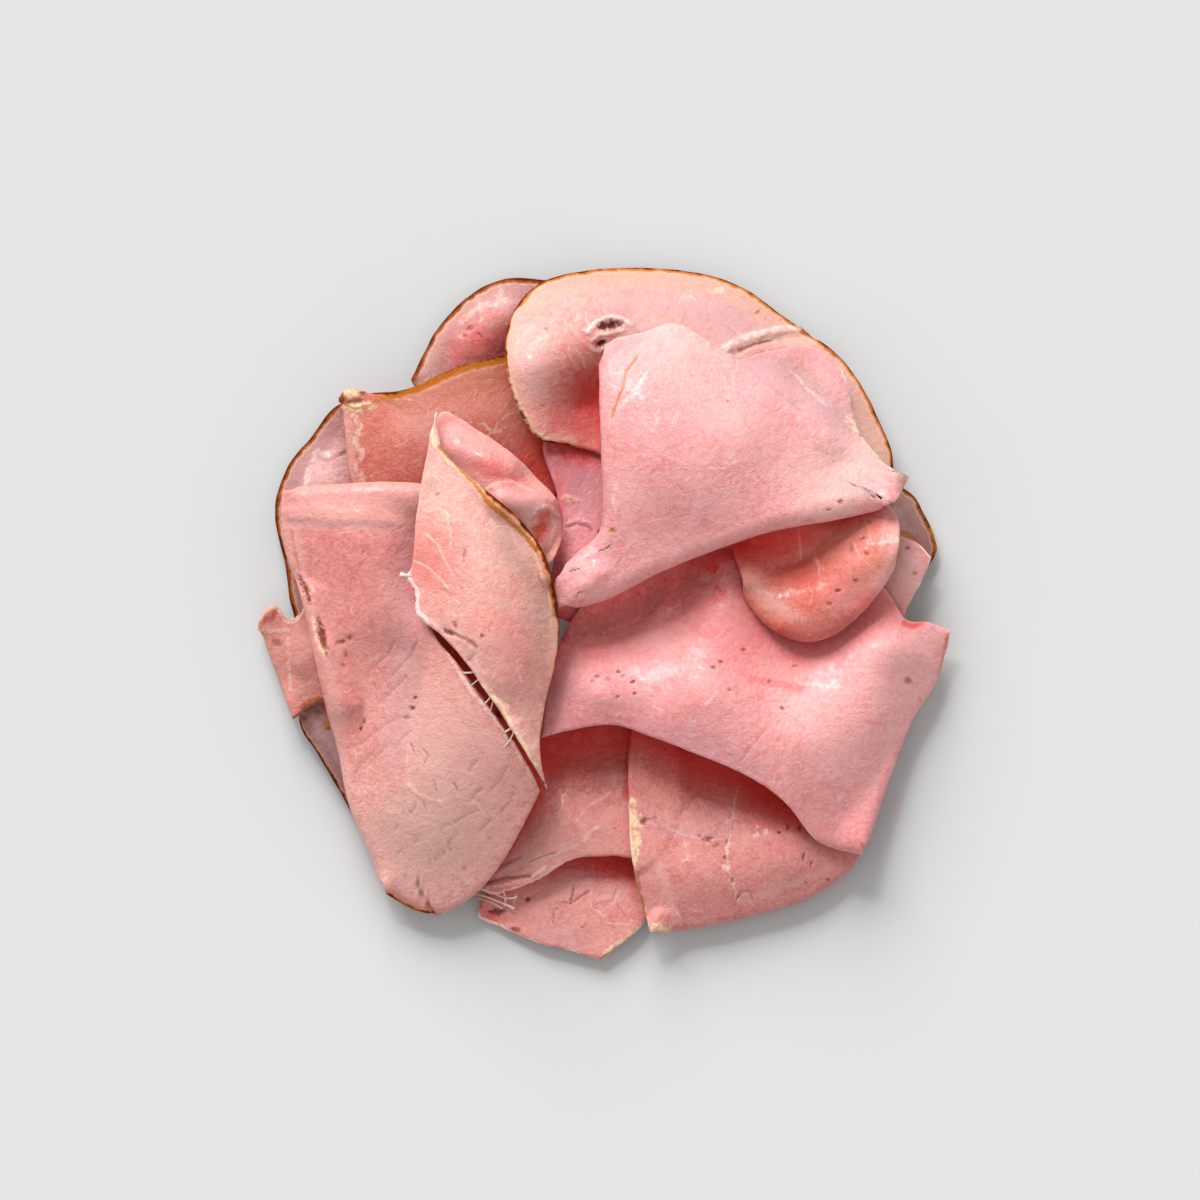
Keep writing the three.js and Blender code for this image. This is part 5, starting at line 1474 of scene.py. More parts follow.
class HamSlice:
    """One slice of ham: its sheet laid out as a fine grid, thickened and given its relief."""

    def __init__(self, laid: LaidSlice, dress: Dress, number: int, highest: float) -> None:
        """Keeps the laid form, its dress, the seed of its relief and how high it may reach."""
        self.laid = laid
        self.highest = highest
        self.form = laid.form
        self.dress = dress
        self.seed = 10 * number + 3

    def build(self, finishes: Mapping[str, bpy.types.Material]) -> bpy.types.Object:
        """Makes the slice's piece.

        Args:
            finishes: The materials by the name of their slot.

        Returns:
            The finished piece, which stands for the slice's node.
        """
        area = abs(self.laid.outline.area)
        side = min(MOST_CELLS, 2 * COARSE * round(math.sqrt(area) / CELL / COARSE / 2))
        bpy.ops.object.select_all(action="DESELECT")
        bpy.ops.mesh.primitive_grid_add(
            x_subdivisions=side, y_subdivisions=side, size=2, calc_uvs=False
        )
        piece = bpy.context.object
        piece.name = piece.data.name = f"ham_{self.form.name}"
        self.lay_out(piece.data, side)
        self.thicken(piece)
        self.add_relief(piece.data)
        self.add_threads(piece)
        piece.data.materials.append(finishes[self.dress.finish])
        bpy.ops.object.shade_smooth()
        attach(piece, "root")
        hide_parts(self.form.name)
        return piece

    def lay_out(self, mesh: bpy.types.Mesh, side: int) -> None:
        """Moves the grid's points to the middle surface and stores what the finish reads.

        Args:
            mesh: The square grid from -1 to 1.
            side: Its cells along a side.
        """
        grid = points_of(mesh)
        a, b = (2 * np.rint((grid[:, axis] + 1) / 2 * side) / side - 1 for axis in (0, 1))
        radius = np.maximum(np.abs(a), np.abs(b))
        place = self.snapped(disc_place(a, b), 4 * (side // COARSE))
        rim = self.laid.rim_at(place)
        inset = self.raggedness(place, rim.x, rim.y) * (rim.share == 0)
        rim_x, rim_y = rim.x - rim.out_x * inset, rim.y - rim.out_y * inset
        arc = (rim.end - rim.start) * rim.radius * (1 + rim.share) / 2
        reach = np.hypot(rim.x - self.form.centre[0], rim.y - self.form.centre[1])
        turn_at = reach / (reach + arc)
        inner = np.minimum(radius / turn_at, 1)
        shrink = inner / np.maximum(radius, TINY)
        sheet_x, sheet_y = self.relaxed(side // COARSE)
        x, y = (between(values, a * shrink, b * shrink) for values in (sheet_x, sheet_y))
        at_rim = smooth_step(inner, RIM_ZONE, 1)
        ring_a, ring_b = a / np.maximum(radius, TINY), b / np.maximum(radius, TINY)
        x = x + at_rim * (rim_x - between(sheet_x, ring_a, ring_b))
        y = y + at_rim * (rim_y - between(sheet_y, ring_a, ring_b))
        z = self.laid.height(x, y)
        rolled = np.clip((radius - turn_at) / np.maximum(1 - turn_at, TINY), 0, 1) * (arc > 0)
        turn = rim.start + (rim.end - rim.start) * rolled
        across = rim.radius * rim.share * (np.sin(turn) - np.sin(rim.start))
        z = z - rim.radius * (np.cos(rim.start) - np.cos(turn)) * (arc > 0)
        flat_x, flat_y = x + rim.out_x * arc * rolled, y + rim.out_y * arc * rolled
        outermost = radius == 1
        order = np.argsort(place[outermost])
        loop = list(zip(*(v[outermost][order] for v in (rim_x, rim_y, arc))))
        to_rim = distance_to_line(x, y, loop + loop[:1])
        edge = np.where(rolled > 0, arc * (1 - rolled), to_rim)
        x, y = x + rim.out_x * across, y + rim.out_y * across
        z = z + RIPPLE_HEIGHT * grain_noise(flat_x, flat_y, RIPPLE_SIZE, self.seed)
        set_points(mesh, np.column_stack([x, y, z]) * METRE)
        self.flat_x, self.flat_y = flat_x, flat_y
        self.store_values(mesh, place, edge)
    # The tint is laid over all its colours, and shade scales the red shade painted into its hollows.

    def relaxed(self, side: int) -> tuple[Array, Array]:
        """Spreads a square grid evenly over the sheet, whatever the outline of its rim.

        Args:
            side: Cells along a side of the grid.

        Returns:
            The first and the second coordinates of the grid's points, in rows.
        """
        line = np.linspace(-1, 1, side + 1)
        a, b = np.meshgrid(line, line)
        radius = np.maximum(np.abs(a), np.abs(b))
        place = self.snapped(disc_place(a.ravel(), b.ravel()), 4 * side)
        rim = self.laid.rim_at(place)
        cx, cy = self.form.centre
        x = cx + (rim.x.reshape(a.shape) - cx) * radius
        y = cy + (rim.y.reshape(a.shape) - cy) * radius
        for _ in range(RELAX_STEPS):
            x_a, y_a = (v[1:-1, 2:] - v[1:-1, :-2] for v in (x, y))
            x_b, y_b = (v[2:, 1:-1] - v[:-2, 1:-1] for v in (x, y))
            along, across = x_a**2 + y_a**2, x_b**2 + y_b**2
            skew = (x_a * x_b + y_a * y_b) / 2
            for v in (x, y):
                twist = v[2:, 2:] - v[2:, :-2] - v[:-2, 2:] + v[:-2, :-2]
                v[1:-1, 1:-1] = (
                    across * (v[1:-1, 2:] + v[1:-1, :-2])
                    + along * (v[2:, 1:-1] + v[:-2, 1:-1])
                    - skew * twist
                ) / (2 * (along + across) + TINY)
        return x, y

    def snapped(self, place: Array, nodes: int) -> Array:
        """Places along the rim for the grid's edge, so that an edge point meets each corner.

        Args:
            place: Even places from 0 to 1, counterclockwise.
            nodes: How many points the grid's edge has.

        Returns:
            The places along the rim, from 0 to 1.
        """
        outline = self.laid.outline
        sharp = [p for p, point in zip(outline.places, self.form.rim) if len(point) == 4]
        start = sharp[0] if sharp else 0.0
        knots = [(0.0, 0.0), (1.0, 1.0)]
        for corner in sharp:
            along = (outline.turned * (corner - start) + 2) % 1
            node = math.floor(along * nodes + 0.5) / nodes
            if 0 < node < 1:
                knots.append((node, along))
        knots.sort()
        place = (place - SQUARE_CORNER) % 1
        along = np.interp(place, [k[0] for k in knots], [k[1] for k in knots])
        return (start + outline.turned * along) % 1

    def raggedness(self, place: Array, x: Array, y: Array) -> Array:
        """How far the rim stays inside its curve, in millimetres."""
        torn = np.zeros_like(place)
        for edge in self.dress.edges:
            if edge.kind is Rim.TORN:
                inside = self.laid.outline.stretch(place, edge.first, edge.last, TORN_FADE)
                torn = np.maximum(torn, edge.amount * inside)
        wander = 0.5 + 0.7 * grain_noise(x, y, WAVE_SIZE, self.seed + 1)
        nicks = 0.5 + 0.9 * grain_noise(x, y, NICK_SIZE, self.seed + 2)
        return np.clip(CUT_INSET * wander + torn * TORN_INSET * (wander + nicks), 0, None)

    def store_values(self, mesh: bpy.types.Mesh, place: Array, edge: Array) -> None:
        """Stores the sheet's own coordinates, the distance to its rim and its tones.

        Args:
            mesh: The laid-out grid.
            place: Place along the rim that each point lies towards.
            edge: Distance of each point to the rim.
        """
        outline = self.laid.outline
        values = {kind.value: np.full(len(edge), NO_RIM) for kind in Rim}
        values["edge"] = edge
        for stretch in self.dress.edges:
            inside = outline.stretch(place, stretch.first, stretch.last, STRETCH_FADE)
            name = stretch.kind.value
            values[name] = np.maximum(values[name], stretch.amount * inside)
        self.sunk = np.zeros(len(edge))
        patches = {tone: np.zeros((len(edge), 3)) for tone in Tone}
        for mark in self.dress.marks:
            self.apply_mark(mark, patches[mark.tone])
        values["sunk"] = self.sunk
        values["sheet"] = np.column_stack(
            [self.flat_x, self.flat_y, np.full(len(edge), self.seed * NOISE_SHIFT)]
        )
        values["tint"] = np.tile(linear(self.dress.tint)[:3], (len(edge), 1))
        values |= {tone.value: patch for tone, patch in patches.items()}
        for name, value in values.items():
            keep_values(mesh, name, value)
        self.edge = edge

    def apply_mark(self, mark: Line | Spot, patch: Array) -> None:
        """Adds a mark to its tone's patches, and its depth to the relief.

        Args:
            mark: The line or spot.
            patch: Rows of how near each point is to a mark's middle, from 0 to 1, and how strong
                that mark is; changed in place.
        """
        x, y = self.flat_x, self.flat_y
        shake = FRAY * grain_noise(x, y, FRAY_SIZE, self.seed + 5)
        if isinstance(mark, Line):
            near = 1 - distance_to_line(x, y, mark.points) / (2 * mark.width) + shake
        else:
            cos, sin = math.cos(math.radians(mark.turn)), math.sin(math.radians(mark.turn))
            u = ((x - mark.x) * cos + (y - mark.y) * sin) / mark.length
            v = ((y - mark.y) * cos - (x - mark.x) * sin) / mark.width
            near = 1 - np.hypot(u, v) / 2 + shake
        near = np.clip(near, 0, 1)
        nearer = near > patch[:, 0]
        patch[nearer, 0] = near[nearer]
        patch[nearer, 1] = mark.amount
        depth = mark.depth * smooth_step(near, *BANK)
        self.sunk = np.where(np.abs(depth) > np.abs(self.sunk), depth, self.sunk)

    def thicken(self, piece: bpy.types.Object) -> None:
        """Gives the sheet its thickness, less of it close to the rim.

        Args:
            piece: The piece, whose mesh is the middle surface.
        """
        group = piece.vertex_groups.new(name="thickness")
        weight = np.sqrt(1 - (1 - np.clip(self.edge / RIM_ROUND, 0, 1)) ** 2)
        near_rim = np.nonzero(self.edge < RIM_ROUND)[0]
        group.add(list(range(len(self.edge))), 1.0, "REPLACE")
        for index in near_rim.tolist():
            group.add([index], max(float(weight[index]), THINNEST), "REPLACE")
        shell = piece.modifiers.new("thickness", "SOLIDIFY")
        shell.thickness = SLICE_THICKNESS * METRE
        shell.offset = 0
        shell.vertex_group = group.name
        bpy.ops.object.modifier_apply(modifier=shell.name)

    def add_relief(self, mesh: bpy.types.Mesh) -> None:
        """Moves the points of both sides along their normals by lumps and grain, and those of the top
        side by marks too.

        Args:
            mesh: The thickened slice.
        """
        points = points_of(mesh)
        normals = rows_of(mesh.vertex_normals, "vector", 3)
        u, v, _ = rows_of(mesh.attributes["sheet"].data, "vector", 3).T
        sunk = rows_of(mesh.attributes["sunk"].data, "value", 1)[:, 0]
        lumps = LUMP_HEIGHT * grain_noise(u, v, LUMP_SIZE, self.seed + 6)
        lumps += GRAIN_HEIGHT * grain_noise(u, v, GRAIN_SIZE, self.seed + 7)
        top = np.arange(len(points)) < len(self.edge)
        lumps = lumps - np.where(top, sunk, 0)
        points = points + normals * lumps[:, None] * METRE
        points[:, 2] = np.clip(points[:, 2], 0, self.highest)
        set_points(mesh, points)
        mesh.attributes.remove(mesh.attributes["sunk"])

    def add_threads(self, piece: bpy.types.Object) -> None:
        """Joins the threads of meat that hang across the slice's tears to it.

        Args:
            piece: The slice, with its relief.
        """
        first = len(piece.data.vertices)
        for thread in self.dress.threads:
            bpy.ops.object.select_all(action="DESELECT")
            bpy.ops.curve.primitive_nurbs_path_add(radius=METRE)
            tube = bpy.context.object
            spline = tube.data.splines[0]
            steps = np.linspace(0, len(thread.points) - 1, len(spline.points))
            numbers = np.arange(len(thread.points))
            run = [np.interp(steps, numbers, axis) * METRE for axis in zip(*thread.points)]
            for point, place in zip(spline.points, zip(*run)):
                point.co = (*place, 1)
            tube.data.bevel_depth = thread.width * METRE
            tube.data.bevel_resolution = 2
            tube.data.use_fill_caps = True
            bpy.ops.object.convert(target="MESH")
            piece.select_set(True)
            bpy.context.view_layer.objects.active = piece
            bpy.ops.object.join()
        added = slice(first, len(piece.data.vertices))
        for kind in Rim:
            for point in piece.data.attributes[kind.value].data[added]:
                point.value = 1.0 if kind is Rim.TORN else NO_RIM
        for point in piece.data.attributes["tint"].data[added]:
            point.vector = (1, 1, 1)


class PaintedShadeMap:
    """How deep each place of the finished heap lies among the slices round it: the map by which shade
    is painted into the slices' colour.
    """

    def __init__(self, pieces: Sequence[bpy.types.Object]) -> None:
        """Keeps the highest point of all pieces in each cell of a map."""
        side = round(2 * MAP_HALF / HOLLOW_CELL) + 1
        self.tops = np.zeros((side, side))
        for piece in pieces:
            points = points_of(piece.data) / METRE
            i, j = self.cells(points[:, 0], points[:, 1])
            np.maximum.at(self.tops, (j, i), points[:, 2])

    def cells(self, x: Array, y: Array) -> tuple[Array, Array]:
        """The columns and rows of the map in which places lie."""
        last = len(self.tops) - 1
        i, j = (np.clip(np.rint((v + MAP_HALF) / HOLLOW_CELL), 0, last) for v in (x, y))
        return i.astype(int), j.astype(int)

    def store(self, piece: bpy.types.Object, shade: float) -> None:
        """Stores on a piece how much of the sky each of its points doesn't see, times shade, for the
        finish to paint as shade; the side the light comes from counts more.
        """
        x, y, z = (points_of(piece.data) / METRE).T
        seen = np.zeros_like(x)
        for angle in np.arange(HOLLOW_WAYS) * (2 * math.pi / HOLLOW_WAYS):
            steepest = np.zeros_like(x)
            for away in HOLLOW_REACHES:
                i, j = self.cells(x + away * math.cos(angle), y + away * math.sin(angle))
                steepest = np.maximum(steepest, (self.tops[j, i] - z - HOLLOW_SLACK) / away)
            seen += (1 + HOLLOW_LEAN * math.sin(angle)) / (1 + steepest**2)
        keep_values(piece.data, "painted_shade", shade * (1 - seen / HOLLOW_WAYS))


def rows_of(items: Any, field: str, width: int) -> Array:
    """A field of a mesh's items, as an array with a row for each of them."""
    flat = np.empty(len(items) * width, np.float32)
    items.foreach_get(field, flat)
    return flat.reshape(-1, width).astype(float)


def points_of(mesh: bpy.types.Mesh) -> Array:
    """A mesh's points as an array of rows."""
    return rows_of(mesh.vertices, "co", 3)


def keep_values(mesh: bpy.types.Mesh, name: str, values: Array) -> None:
    """Stores a number or a vector for each point of a mesh, under a name."""
    kind, field = ("FLOAT", "value") if values.ndim == 1 else ("FLOAT_VECTOR", "vector")
    attribute = mesh.attributes.new(name, kind, "POINT")
    attribute.data.foreach_set(field, values.astype(np.float32).ravel())


def set_points(mesh: bpy.types.Mesh, points: Array) -> None:
    """Moves a mesh's points to the rows of an array."""
    mesh.vertices.foreach_set("co", points.astype(np.float32).ravel())
    mesh.update()


def between(values: Array, a: Array, b: Array) -> Array:
    """Values of a square grid from -1 to 1, at any places in it."""
    side = len(values) - 1
    u, v = ((np.clip(t, -1, 1) + 1) / 2 * side for t in (a, b))
    i, j = (np.minimum(t.astype(int), side - 1) for t in (u, v))
    u, v = u - i, v - j
    low = values[j, i] * (1 - u) + values[j, i + 1] * u
    high = values[j + 1, i] * (1 - u) + values[j + 1, i + 1] * u
    return low * (1 - v) + high * v


def disc_place(a: Array, b: Array) -> Array:
    """The place along the rim, from 0 to 1, that a point of the square from -1 to 1 lies towards."""
    eighth = math.pi / 4
    safe_a, safe_b = np.where(a == 0, TINY, a), np.where(b == 0, TINY, b)
    sideways = eighth * b / safe_a + np.where(a < 0, 4 * eighth, 0)
    upright = 2 * eighth - eighth * a / safe_b + np.where(b < 0, 4 * eighth, 0)
    angle = np.where(np.abs(a) >= np.abs(b), sideways, upright)
    place = angle / (8 * eighth)
    return place - np.floor(place)


def linear(hex_colour: str) -> tuple[float, float, float, float]:
    """An sRGB hex colour as linear red, green, blue and alpha."""
    channels = [int(hex_colour[i : i + 2], 16) / 255 for i in (1, 3, 5)]
    red, green, blue = (
        c / 12.92 if c <= 0.04045 else ((c + 0.055) / 1.055) ** 2.4 for c in channels
    )
    return red, green, blue, 1.0


def add_node(
    tree: bpy.types.NodeTree,
    kind: str,
    inputs: Mapping[int | str, Any] | None = None,
    **settings: Any,
) -> bpy.types.Node:
    """Adds a node with its settings and links.

    Args:
        tree: The node tree.
        kind: The node's type name.
        inputs: Values by socket name or number; a socket as value is linked.
        settings: The node's own settings.

    Returns:
        The node.
    """
    node = tree.nodes.new(kind)
    for name, value in settings.items():
        setattr(node, name, value)
    for name, value in (inputs or {}).items():
        if isinstance(value, bpy.types.NodeSocket):
            tree.links.new(value, node.inputs[name])
        else:
            node.inputs[name].default_value = value
    return node


def lump_inputs(
    place: Any, size: float, detail: float = 2.0, warp: float = 0.0
) -> dict[int | str, Any]:
    """Noise inputs for lumps of a size in millimetres."""
    return {"Vector": place, "Scale": 1 / size, "Detail": detail, "Distortion": warp}


def ramp_inputs(value: Any, ramp: Sequence[float]) -> dict[int | str, Any]:
    """Inputs that take a value from the first two numbers of a ramp to the last two."""
    return dict(enumerate((value, *ramp)))


@dataclass(frozen=True)
class HamFinish:
    """Moist smoked ham, sliced thin: fine-grained muscle with a few thin white veins.

    Cured meat lets light a few millimetres in, red the furthest, and slices pass it on to each
    other, and shade is painted deep red into the hollows. The cut face is damp, with broken
    highlights, and the rind dry.
    """

    name: str
    flesh: str
    pale: str
    deep: str
    smoke: str = "#cf9a78"
    rind: str = "#42190a"
    bark: str = "#bf5a12"
    # the deep red painted over the meat as shade where a point lies deep among the slices
    inner: str = "#da3329"
    veins: float = 0.42
    fade: float = 0.5
    roughness: float = 0.44
    refraction: float = 1.40
    dry_rim: Pair = (0.8, 3.5)
    wetness: float = 0.45
    wet_roughness: float = 0.16
    glow: float = 0.45
    glow_colour: tuple[float, float, float] = (1.0, 0.26, 0.20)
    glow_reach: float = 0.0038
    # the hidden share of sky over which that painted shade sets in, and how much of it lies on at most
    hollows: Pair = (0.26, 0.70)
    painted_shade_share: float = 0.9
    grain_height: float = 0.0004
    least_edge: float = 0.05

    def build(self) -> bpy.types.Material:
        """Makes the material."""
        material = bpy.data.materials.new(self.name)
        material.use_nodes = True
        tree = material.node_tree
        tree.nodes.clear()
        sheet = add_node(tree, "ShaderNodeAttribute", attribute_name="sheet").outputs["Vector"]
        colour = self.flesh_colour(tree, sheet)
        colour = self.tone_colour(tree, sheet, colour, SOFT_TONES)
        colour = self.rim_colour(tree, sheet, colour)
        colour = self.tone_colour(tree, sheet, colour, SHARP_TONES)
        tint = add_node(tree, "ShaderNodeAttribute", attribute_name="tint").outputs["Vector"]
        inputs = {0: 1.0, 6: colour, 7: tint}
        colour = add_node(tree, "ShaderNodeMix", inputs, blend_type="MULTIPLY", **RGBA).outputs[2]
        # painted shade: the meat turns darker and redder where a point is hidden from the sky
        painted_shade = add_node(tree, "ShaderNodeAttribute", attribute_name="painted_shade").outputs["Fac"]
        colour = self.painted(tree, colour, painted_shade, (*self.hollows, 0, self.painted_shade_share), self.inner)
        edge = add_node(tree, "ShaderNodeAttribute", attribute_name="edge").outputs["Fac"]
        gloss, damp = (
            add_node(
                tree, "ShaderNodeMapRange", ramp_inputs(edge, (*self.dry_rim, *ends)), **SMOOTH
            ).outputs[0]
            for ends in ((0.04, 0.3), (0, 1))
        )
        wet = self.pattern(tree, sheet, (3, 5, 0.3), (0.48, 0.64, 0, self.wetness))
        shine = (self.roughness - 0.16, self.roughness + 0.14)
        shader = add_node(
            tree,
            "ShaderNodeBsdfPrincipled",
            {
                "Base Color": colour,
                "Roughness": self.pattern(tree, sheet, (3, 5, 0.3), (0.38, 0.62, *shine)),
                "IOR": self.refraction,
                "Specular IOR Level": gloss,
                "Coat Weight": add_node(tree, "ShaderNodeMath", {0: wet, 1: damp}, **TIMES).outputs[0],
                "Coat Roughness": self.wet_roughness,
                "Subsurface Weight": self.glow,
                "Subsurface Radius": self.glow_colour,
                "Subsurface Scale": self.glow_reach,
                "Normal": self.surface_grain(tree, sheet),
            },
        )
        add_node(tree, "ShaderNodeOutputMaterial", {"Surface": shader.outputs["BSDF"]})
        return material

    def pattern(
        self, tree: bpy.types.NodeTree, place: Any, lumps: Sequence[float], ramp: Sequence[float]
    ) -> bpy.types.NodeSocket:
        """A pattern of soft lumps over the meat.

        Args:
            tree: The material's nodes.
            place: Where each point lies on the slice, in millimetres.
            lumps: Their size in millimetres, and the noise's detail and distortion.
            ramp: The two values of the noise, and what the pattern is at each of them.

        Returns:
            The socket with the pattern.
        """
        noise = add_node(tree, "ShaderNodeTexNoise", lump_inputs(place, *lumps)).outputs[0]
        return add_node(tree, "ShaderNodeMapRange", ramp_inputs(noise, ramp), **SMOOTH).outputs[0]

    def painted(
        self, tree: bpy.types.NodeTree, colour: Any, value: Any, ramp: Sequence[float], paint: str
    ) -> bpy.types.NodeSocket:
        """Lays a paint over a colour where a value asks for it.

        Args:
            tree: The material's nodes.
            colour: The colour below.
            value: What the paint goes by, such as the distance to the rim.
            ramp: Two of its values, and how much the paint covers at each of them.
            paint: The paint, as an sRGB hex colour.

        Returns:
            The socket with the new colour.
        """
        share = add_node(tree, "ShaderNodeMapRange", ramp_inputs(value, ramp), **SMOOTH).outputs[0]
        inputs = {0: share, 6: colour, 7: linear(paint)}
        return add_node(tree, "ShaderNodeMix", inputs, **RGBA).outputs[2]

    def flesh_colour(self, tree: bpy.types.NodeTree, sheet: Any) -> bpy.types.NodeSocket:
        """The meat itself: blotches of 20 mm and 6 mm, grain of 0.6 to 2.4 mm and white veins."""
        colour = linear(self.flesh)
        for lumps, ramp, paint in (
            ((20, 3, 0.6), (0.38, 0.66, 0, self.fade), self.pale),
            ((6, 4, 0.5), (0.48, 0.72, 0, 0.45), self.deep),
            ((2.4,), (0.46, 0.66, 0, 0.35), self.deep),
            ((1.3,), (0.46, 0.66, 0, 0.50), self.pale),
            ((0.6,), (0.46, 0.66, 0, 0.40), self.pale),
        ):
            noise = add_node(tree, "ShaderNodeTexNoise", lump_inputs(sheet, *lumps)).outputs[0]
            colour = self.painted(tree, colour, noise, ramp, paint)
        for size, shift, width in ((17.0, 0.0, 0.009), (10.0, 31.0, 0.010)):
            inputs = {0: sheet, 1: (shift, shift, shift)}
            moved = add_node(tree, "ShaderNodeVectorMath", inputs, operation="ADD").outputs[0]
            noise = add_node(tree, "ShaderNodeTexNoise", lump_inputs(moved, size, 1.2, 0.9))
            inputs = {0: noise.outputs[0], 1: 0.5}
            middle = add_node(tree, "ShaderNodeMath", inputs, operation="SUBTRACT").outputs[0]
            away = add_node(tree, "ShaderNodeMath", {0: middle}, operation="ABSOLUTE").outputs[0]
            inputs = ramp_inputs(away, (width * 0.2, width, 1, 0))
            vein = add_node(tree, "ShaderNodeMapRange", inputs, **SMOOTH).outputs[0]
            where = self.pattern(tree, moved, (12,), (0.52, 0.66, 0, self.veins))
            share = add_node(tree, "ShaderNodeMath", {0: vein, 1: where}, **TIMES).outputs[0]
            inputs = {0: share, 6: colour, 7: linear(TONE_COLOURS[WHITE])}
            colour = add_node(tree, "ShaderNodeMix", inputs, **RGBA).outputs[2]
        return colour

    def tone_colour(
        self, tree: bpy.types.NodeTree, sheet: Any, colour: Any, tones: Sequence[Tone]
    ) -> bpy.types.NodeSocket:
        """Lays the patches, seams and cracks of some tones over the meat, painted light, sheen,
        highlights and shade among them.
        """
        fray = self.pattern(tree, sheet, (0.9, 3), (0.3, 0.7, -0.18, 0.18))
        broken = self.pattern(tree, sheet, (1.8, 3), (0.36, 0.58, 0.25, 1))
        for tone in tones:
            patch = add_node(tree, "ShaderNodeAttribute", attribute_name=tone.value)
            parts = add_node(tree, "ShaderNodeSeparateXYZ", {0: patch.outputs["Vector"]}).outputs
            near = add_node(tree, "ShaderNodeMath", {0: parts[0], 1: fray}).outputs[0]
            soft = 0.48 if tone in SOFT_TONES else 0.24
            inputs = ramp_inputs(near, (0.5 - soft, 0.5 + soft, 0, 1))
            share = add_node(tree, "ShaderNodeMapRange", inputs, **SMOOTH).outputs[0]
            for other in (parts[1], broken) if tone in BROKEN_TONES else (parts[1],):
                share = add_node(tree, "ShaderNodeMath", {0: share, 1: other}, **TIMES).outputs[0]
            inputs = {0: share, 6: colour, 7: linear(TONE_COLOURS[tone])}
            colour = add_node(tree, "ShaderNodeMix", inputs, **RGBA).outputs[2]
        return colour

    def rim_colour(
        self, tree: bpy.types.NodeTree, sheet: Any, colour: Any
    ) -> bpy.types.NodeSocket:
        """Paints the rim: smoke-tinged meat, then fat, the orange bark and the dark rind."""
        wander = self.pattern(tree, sheet, (3.5, 4), (0.3, 0.7, -0.35, 0.35))
        edge = add_node(tree, "ShaderNodeAttribute", attribute_name="edge").outputs["Fac"]
        away = add_node(tree, "ShaderNodeMath", {0: edge, 1: wander}).outputs[0]
        inputs = {0: away, 1: self.least_edge}
        away = add_node(tree, "ShaderNodeMath", inputs, operation="MAXIMUM").outputs[0]
        parts = {}
        for kind in Rim:
            width = add_node(tree, "ShaderNodeAttribute", attribute_name=kind.value).outputs["Fac"]
            inputs = {0: away, 1: width}
            parts[kind] = add_node(tree, "ShaderNodeMath", inputs, operation="DIVIDE").outputs[0]
        for kind, far, share, paint in (
            (Rim.RIND, 9.0, 0.50, self.smoke),
            (Rim.RIND, 2.8, 0.30, TONE_COLOURS[FAT]),
            (Rim.RIND, 2.1, 1.00, self.bark),
            (Rim.RIND, 1.0, 0.95, self.rind),
            (Rim.FAT, 1.2, 1.00, TONE_COLOURS[FAT]),
            (Rim.TORN, 1.4, 0.75, TONE_COLOURS[WHITE]),
        ):
            colour = self.painted(tree, colour, parts[kind], (far * 0.6, far, share, 0), paint)
        return colour

    def surface_grain(self, tree: bpy.types.NodeTree, sheet: Any) -> bpy.types.NodeSocket:
        """Bump of the cut face: fibres about 2 mm wide, wrinkles and a fine wet grain."""
        coarse, fine = (
            add_node(tree, "ShaderNodeTexNoise", lump_inputs(sheet, *lumps)).outputs[0]
            for lumps in ((2.2, 4, 0.6), (0.55, 3))
        )
        inputs = {0: fine, 1: 0.55, 2: coarse}
        height = add_node(tree, "ShaderNodeMath", inputs, operation="MULTIPLY_ADD").outputs[0]
        inputs = {"Height": height, "Strength": 1.0, "Distance": self.grain_height}
        return add_node(tree, "ShaderNodeBump", inputs).outputs["Normal"]


FINISHES: tuple[HamFinish, ...] = (
    HamFinish(
        "pale_meat",
        flesh="#cf9a91",
        pale="#d9aea2",
        deep="#c77f75",
        smoke="#dba890",
        bark="#bd6a24",
    ),
    HamFinish("pink_meat", flesh="#da9090", pale="#dfaaa8", deep="#d07474"),
    HamFinish("rose_meat", flesh="#d18581", pale="#db9f97", deep="#bb605b", smoke="#cb917c"),
    HamFinish("coral_meat", flesh="#cb6f61", pale="#d38a7a", deep="#bb5042", smoke="#b4654b"),
    HamFinish(
        "mauve_meat",
        flesh="#b07873",
        pale="#bf938f",
        deep="#985650",
        smoke="#87534a",
        bark="#8a4214",
    ),
)


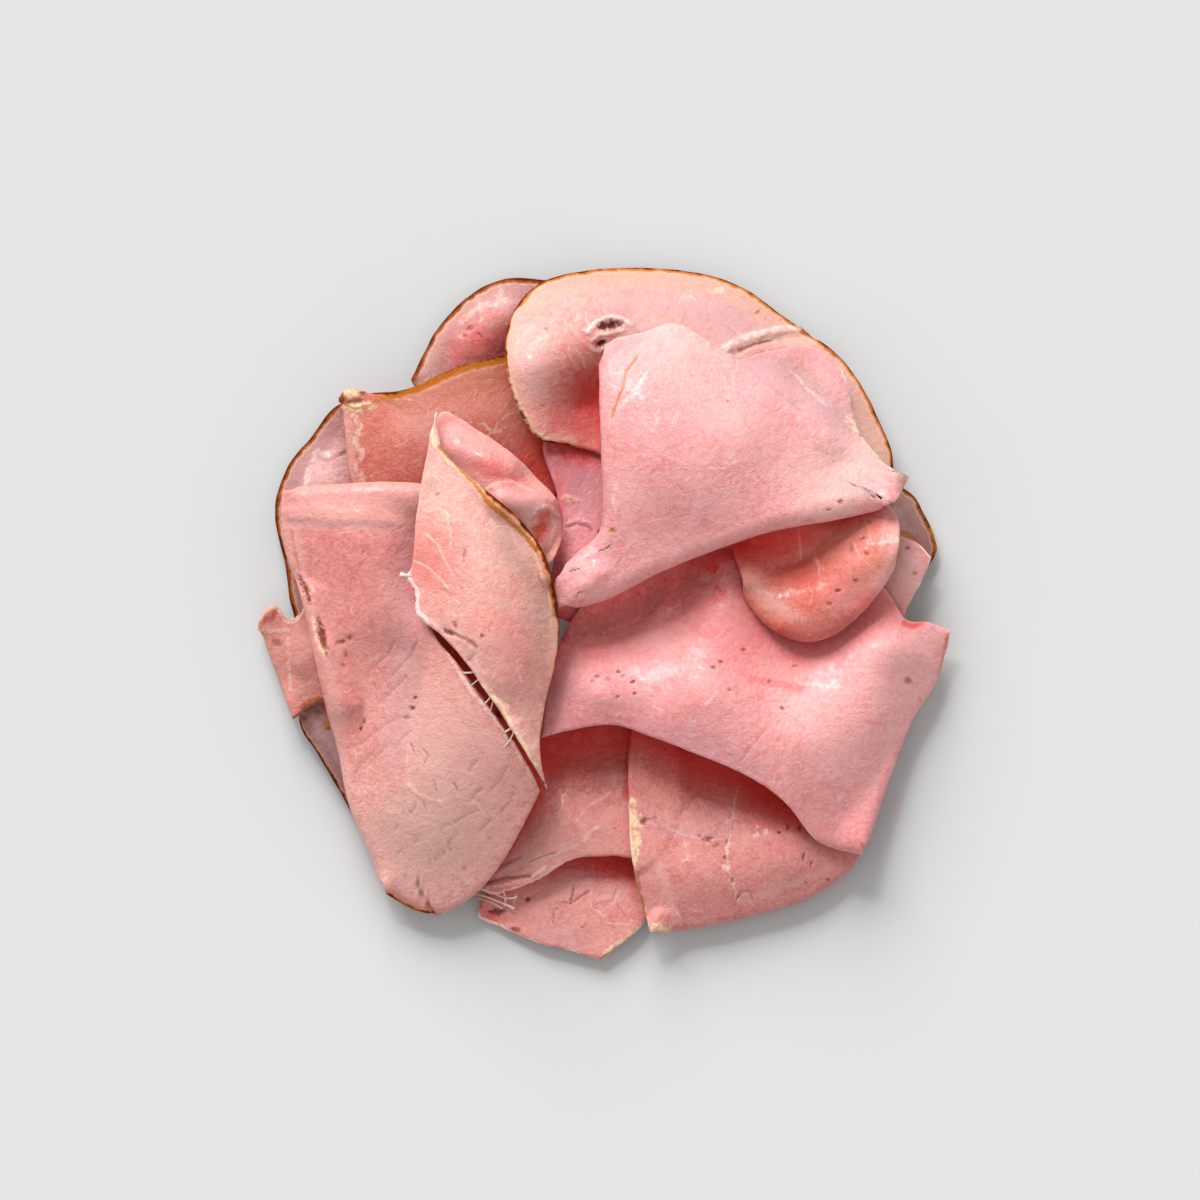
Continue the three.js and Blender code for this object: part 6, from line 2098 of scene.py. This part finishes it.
@dataclass(frozen=True)
class Studio:
    """A pale floor under even light, with the main soft light from the far side."""

    floor_size: float = 4.0
    floor_gap: float = 0.0002
    floor_colour: str = "#c4c4c4"
    sky: float = 0.66
    sun: float = 4.0
    sun_softness: float = 38.0
    sun_height: float = 31.0
    sun_side: float = 18.0
    glint: float = 0.5
    glint_softness: float = 7.0
    glint_height: float = 46.0
    camera_height: float = 3.0
    camera_sees: float = 10.0
    sensor_width: float = 36.0
    frame_width: float = 0.360
    frame_middle: Pair = (-0.0012, 0.00405)
    mean_height: float = 0.020

    def build(self) -> None:
        """Makes the floor, the lights and the camera."""
        bpy.ops.object.select_all(action="DESELECT")
        bpy.ops.mesh.primitive_plane_add(size=self.floor_size, location=(0, 0, -self.floor_gap))
        floor = bpy.context.object
        floor.name = "studio_floor"
        paper = bpy.data.materials.new("matt_paper")
        paper.use_nodes = True
        shader = paper.node_tree.nodes["Principled BSDF"]
        shader.inputs["Base Color"].default_value = linear(self.floor_colour)
        shader.inputs["Roughness"].default_value = 0.9
        shader.inputs["Specular IOR Level"].default_value = 0.0
        floor.data.materials.append(paper)
        floor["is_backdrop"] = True
        world = bpy.data.worlds.new("studio_air")
        world.use_nodes = True
        air = world.node_tree.nodes["Background"].inputs
        air["Strength"].default_value = self.sky
        air["Color"].default_value = (1, 1, 1, 1)
        bpy.context.scene.world = world
        for name, power, softness, height in (
            ("soft_window", self.sun, self.sun_softness, self.sun_height),
            ("small_window", self.glint, self.glint_softness, self.glint_height),
        ):
            sun = bpy.data.lights.new(name, "SUN")
            sun.energy = power
            sun.angle = math.radians(softness)
            lamp = bpy.data.objects.new(name, sun)
            lamp.rotation_euler = (math.radians(height - 90), 0, math.radians(self.sun_side))
            bpy.context.scene.collection.objects.link(lamp)
        lens = bpy.data.cameras.new("camera")
        lens.sensor_width = self.sensor_width
        lens.lens = self.sensor_width * (self.camera_height - self.mean_height) / self.frame_width
        lens.clip_end = self.camera_sees
        camera = bpy.data.objects.new("camera", lens)
        camera.location = (*self.frame_middle, self.camera_height)
        bpy.context.scene.collection.objects.link(camera)
        bpy.context.scene.camera = camera
        bpy.context.scene.view_settings.view_transform = "Standard"


def main() -> None:
    """Builds the studio, the finishes and the slices in order."""
    logging.basicConfig(level=logging.INFO, format="%(message)s")
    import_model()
    solid_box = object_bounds()
    Studio().build()
    finishes = {finish.name: finish.build() for finish in FINISHES}
    ground = Ground()
    pieces = []
    for number, form in enumerate(SLICES):
        laid = LaidSlice(form, ground)
        ham_slice = HamSlice(laid, DRESS[form.name], number, solid_box[1][2])
        pieces.append(ham_slice.build(finishes))
        LOG.info("%s: %d faces", pieces[-1].name, len(pieces[-1].data.polygons))
        ground.raise_by(laid)
    # painted shade: how much sky each point misses, stored on the pieces for their finish
    hollows = PaintedShadeMap(pieces)
    for form, piece in zip(SLICES, pieces):
        hollows.store(piece, DRESS[form.name].shade)


if __name__ == "__main__":
    main()
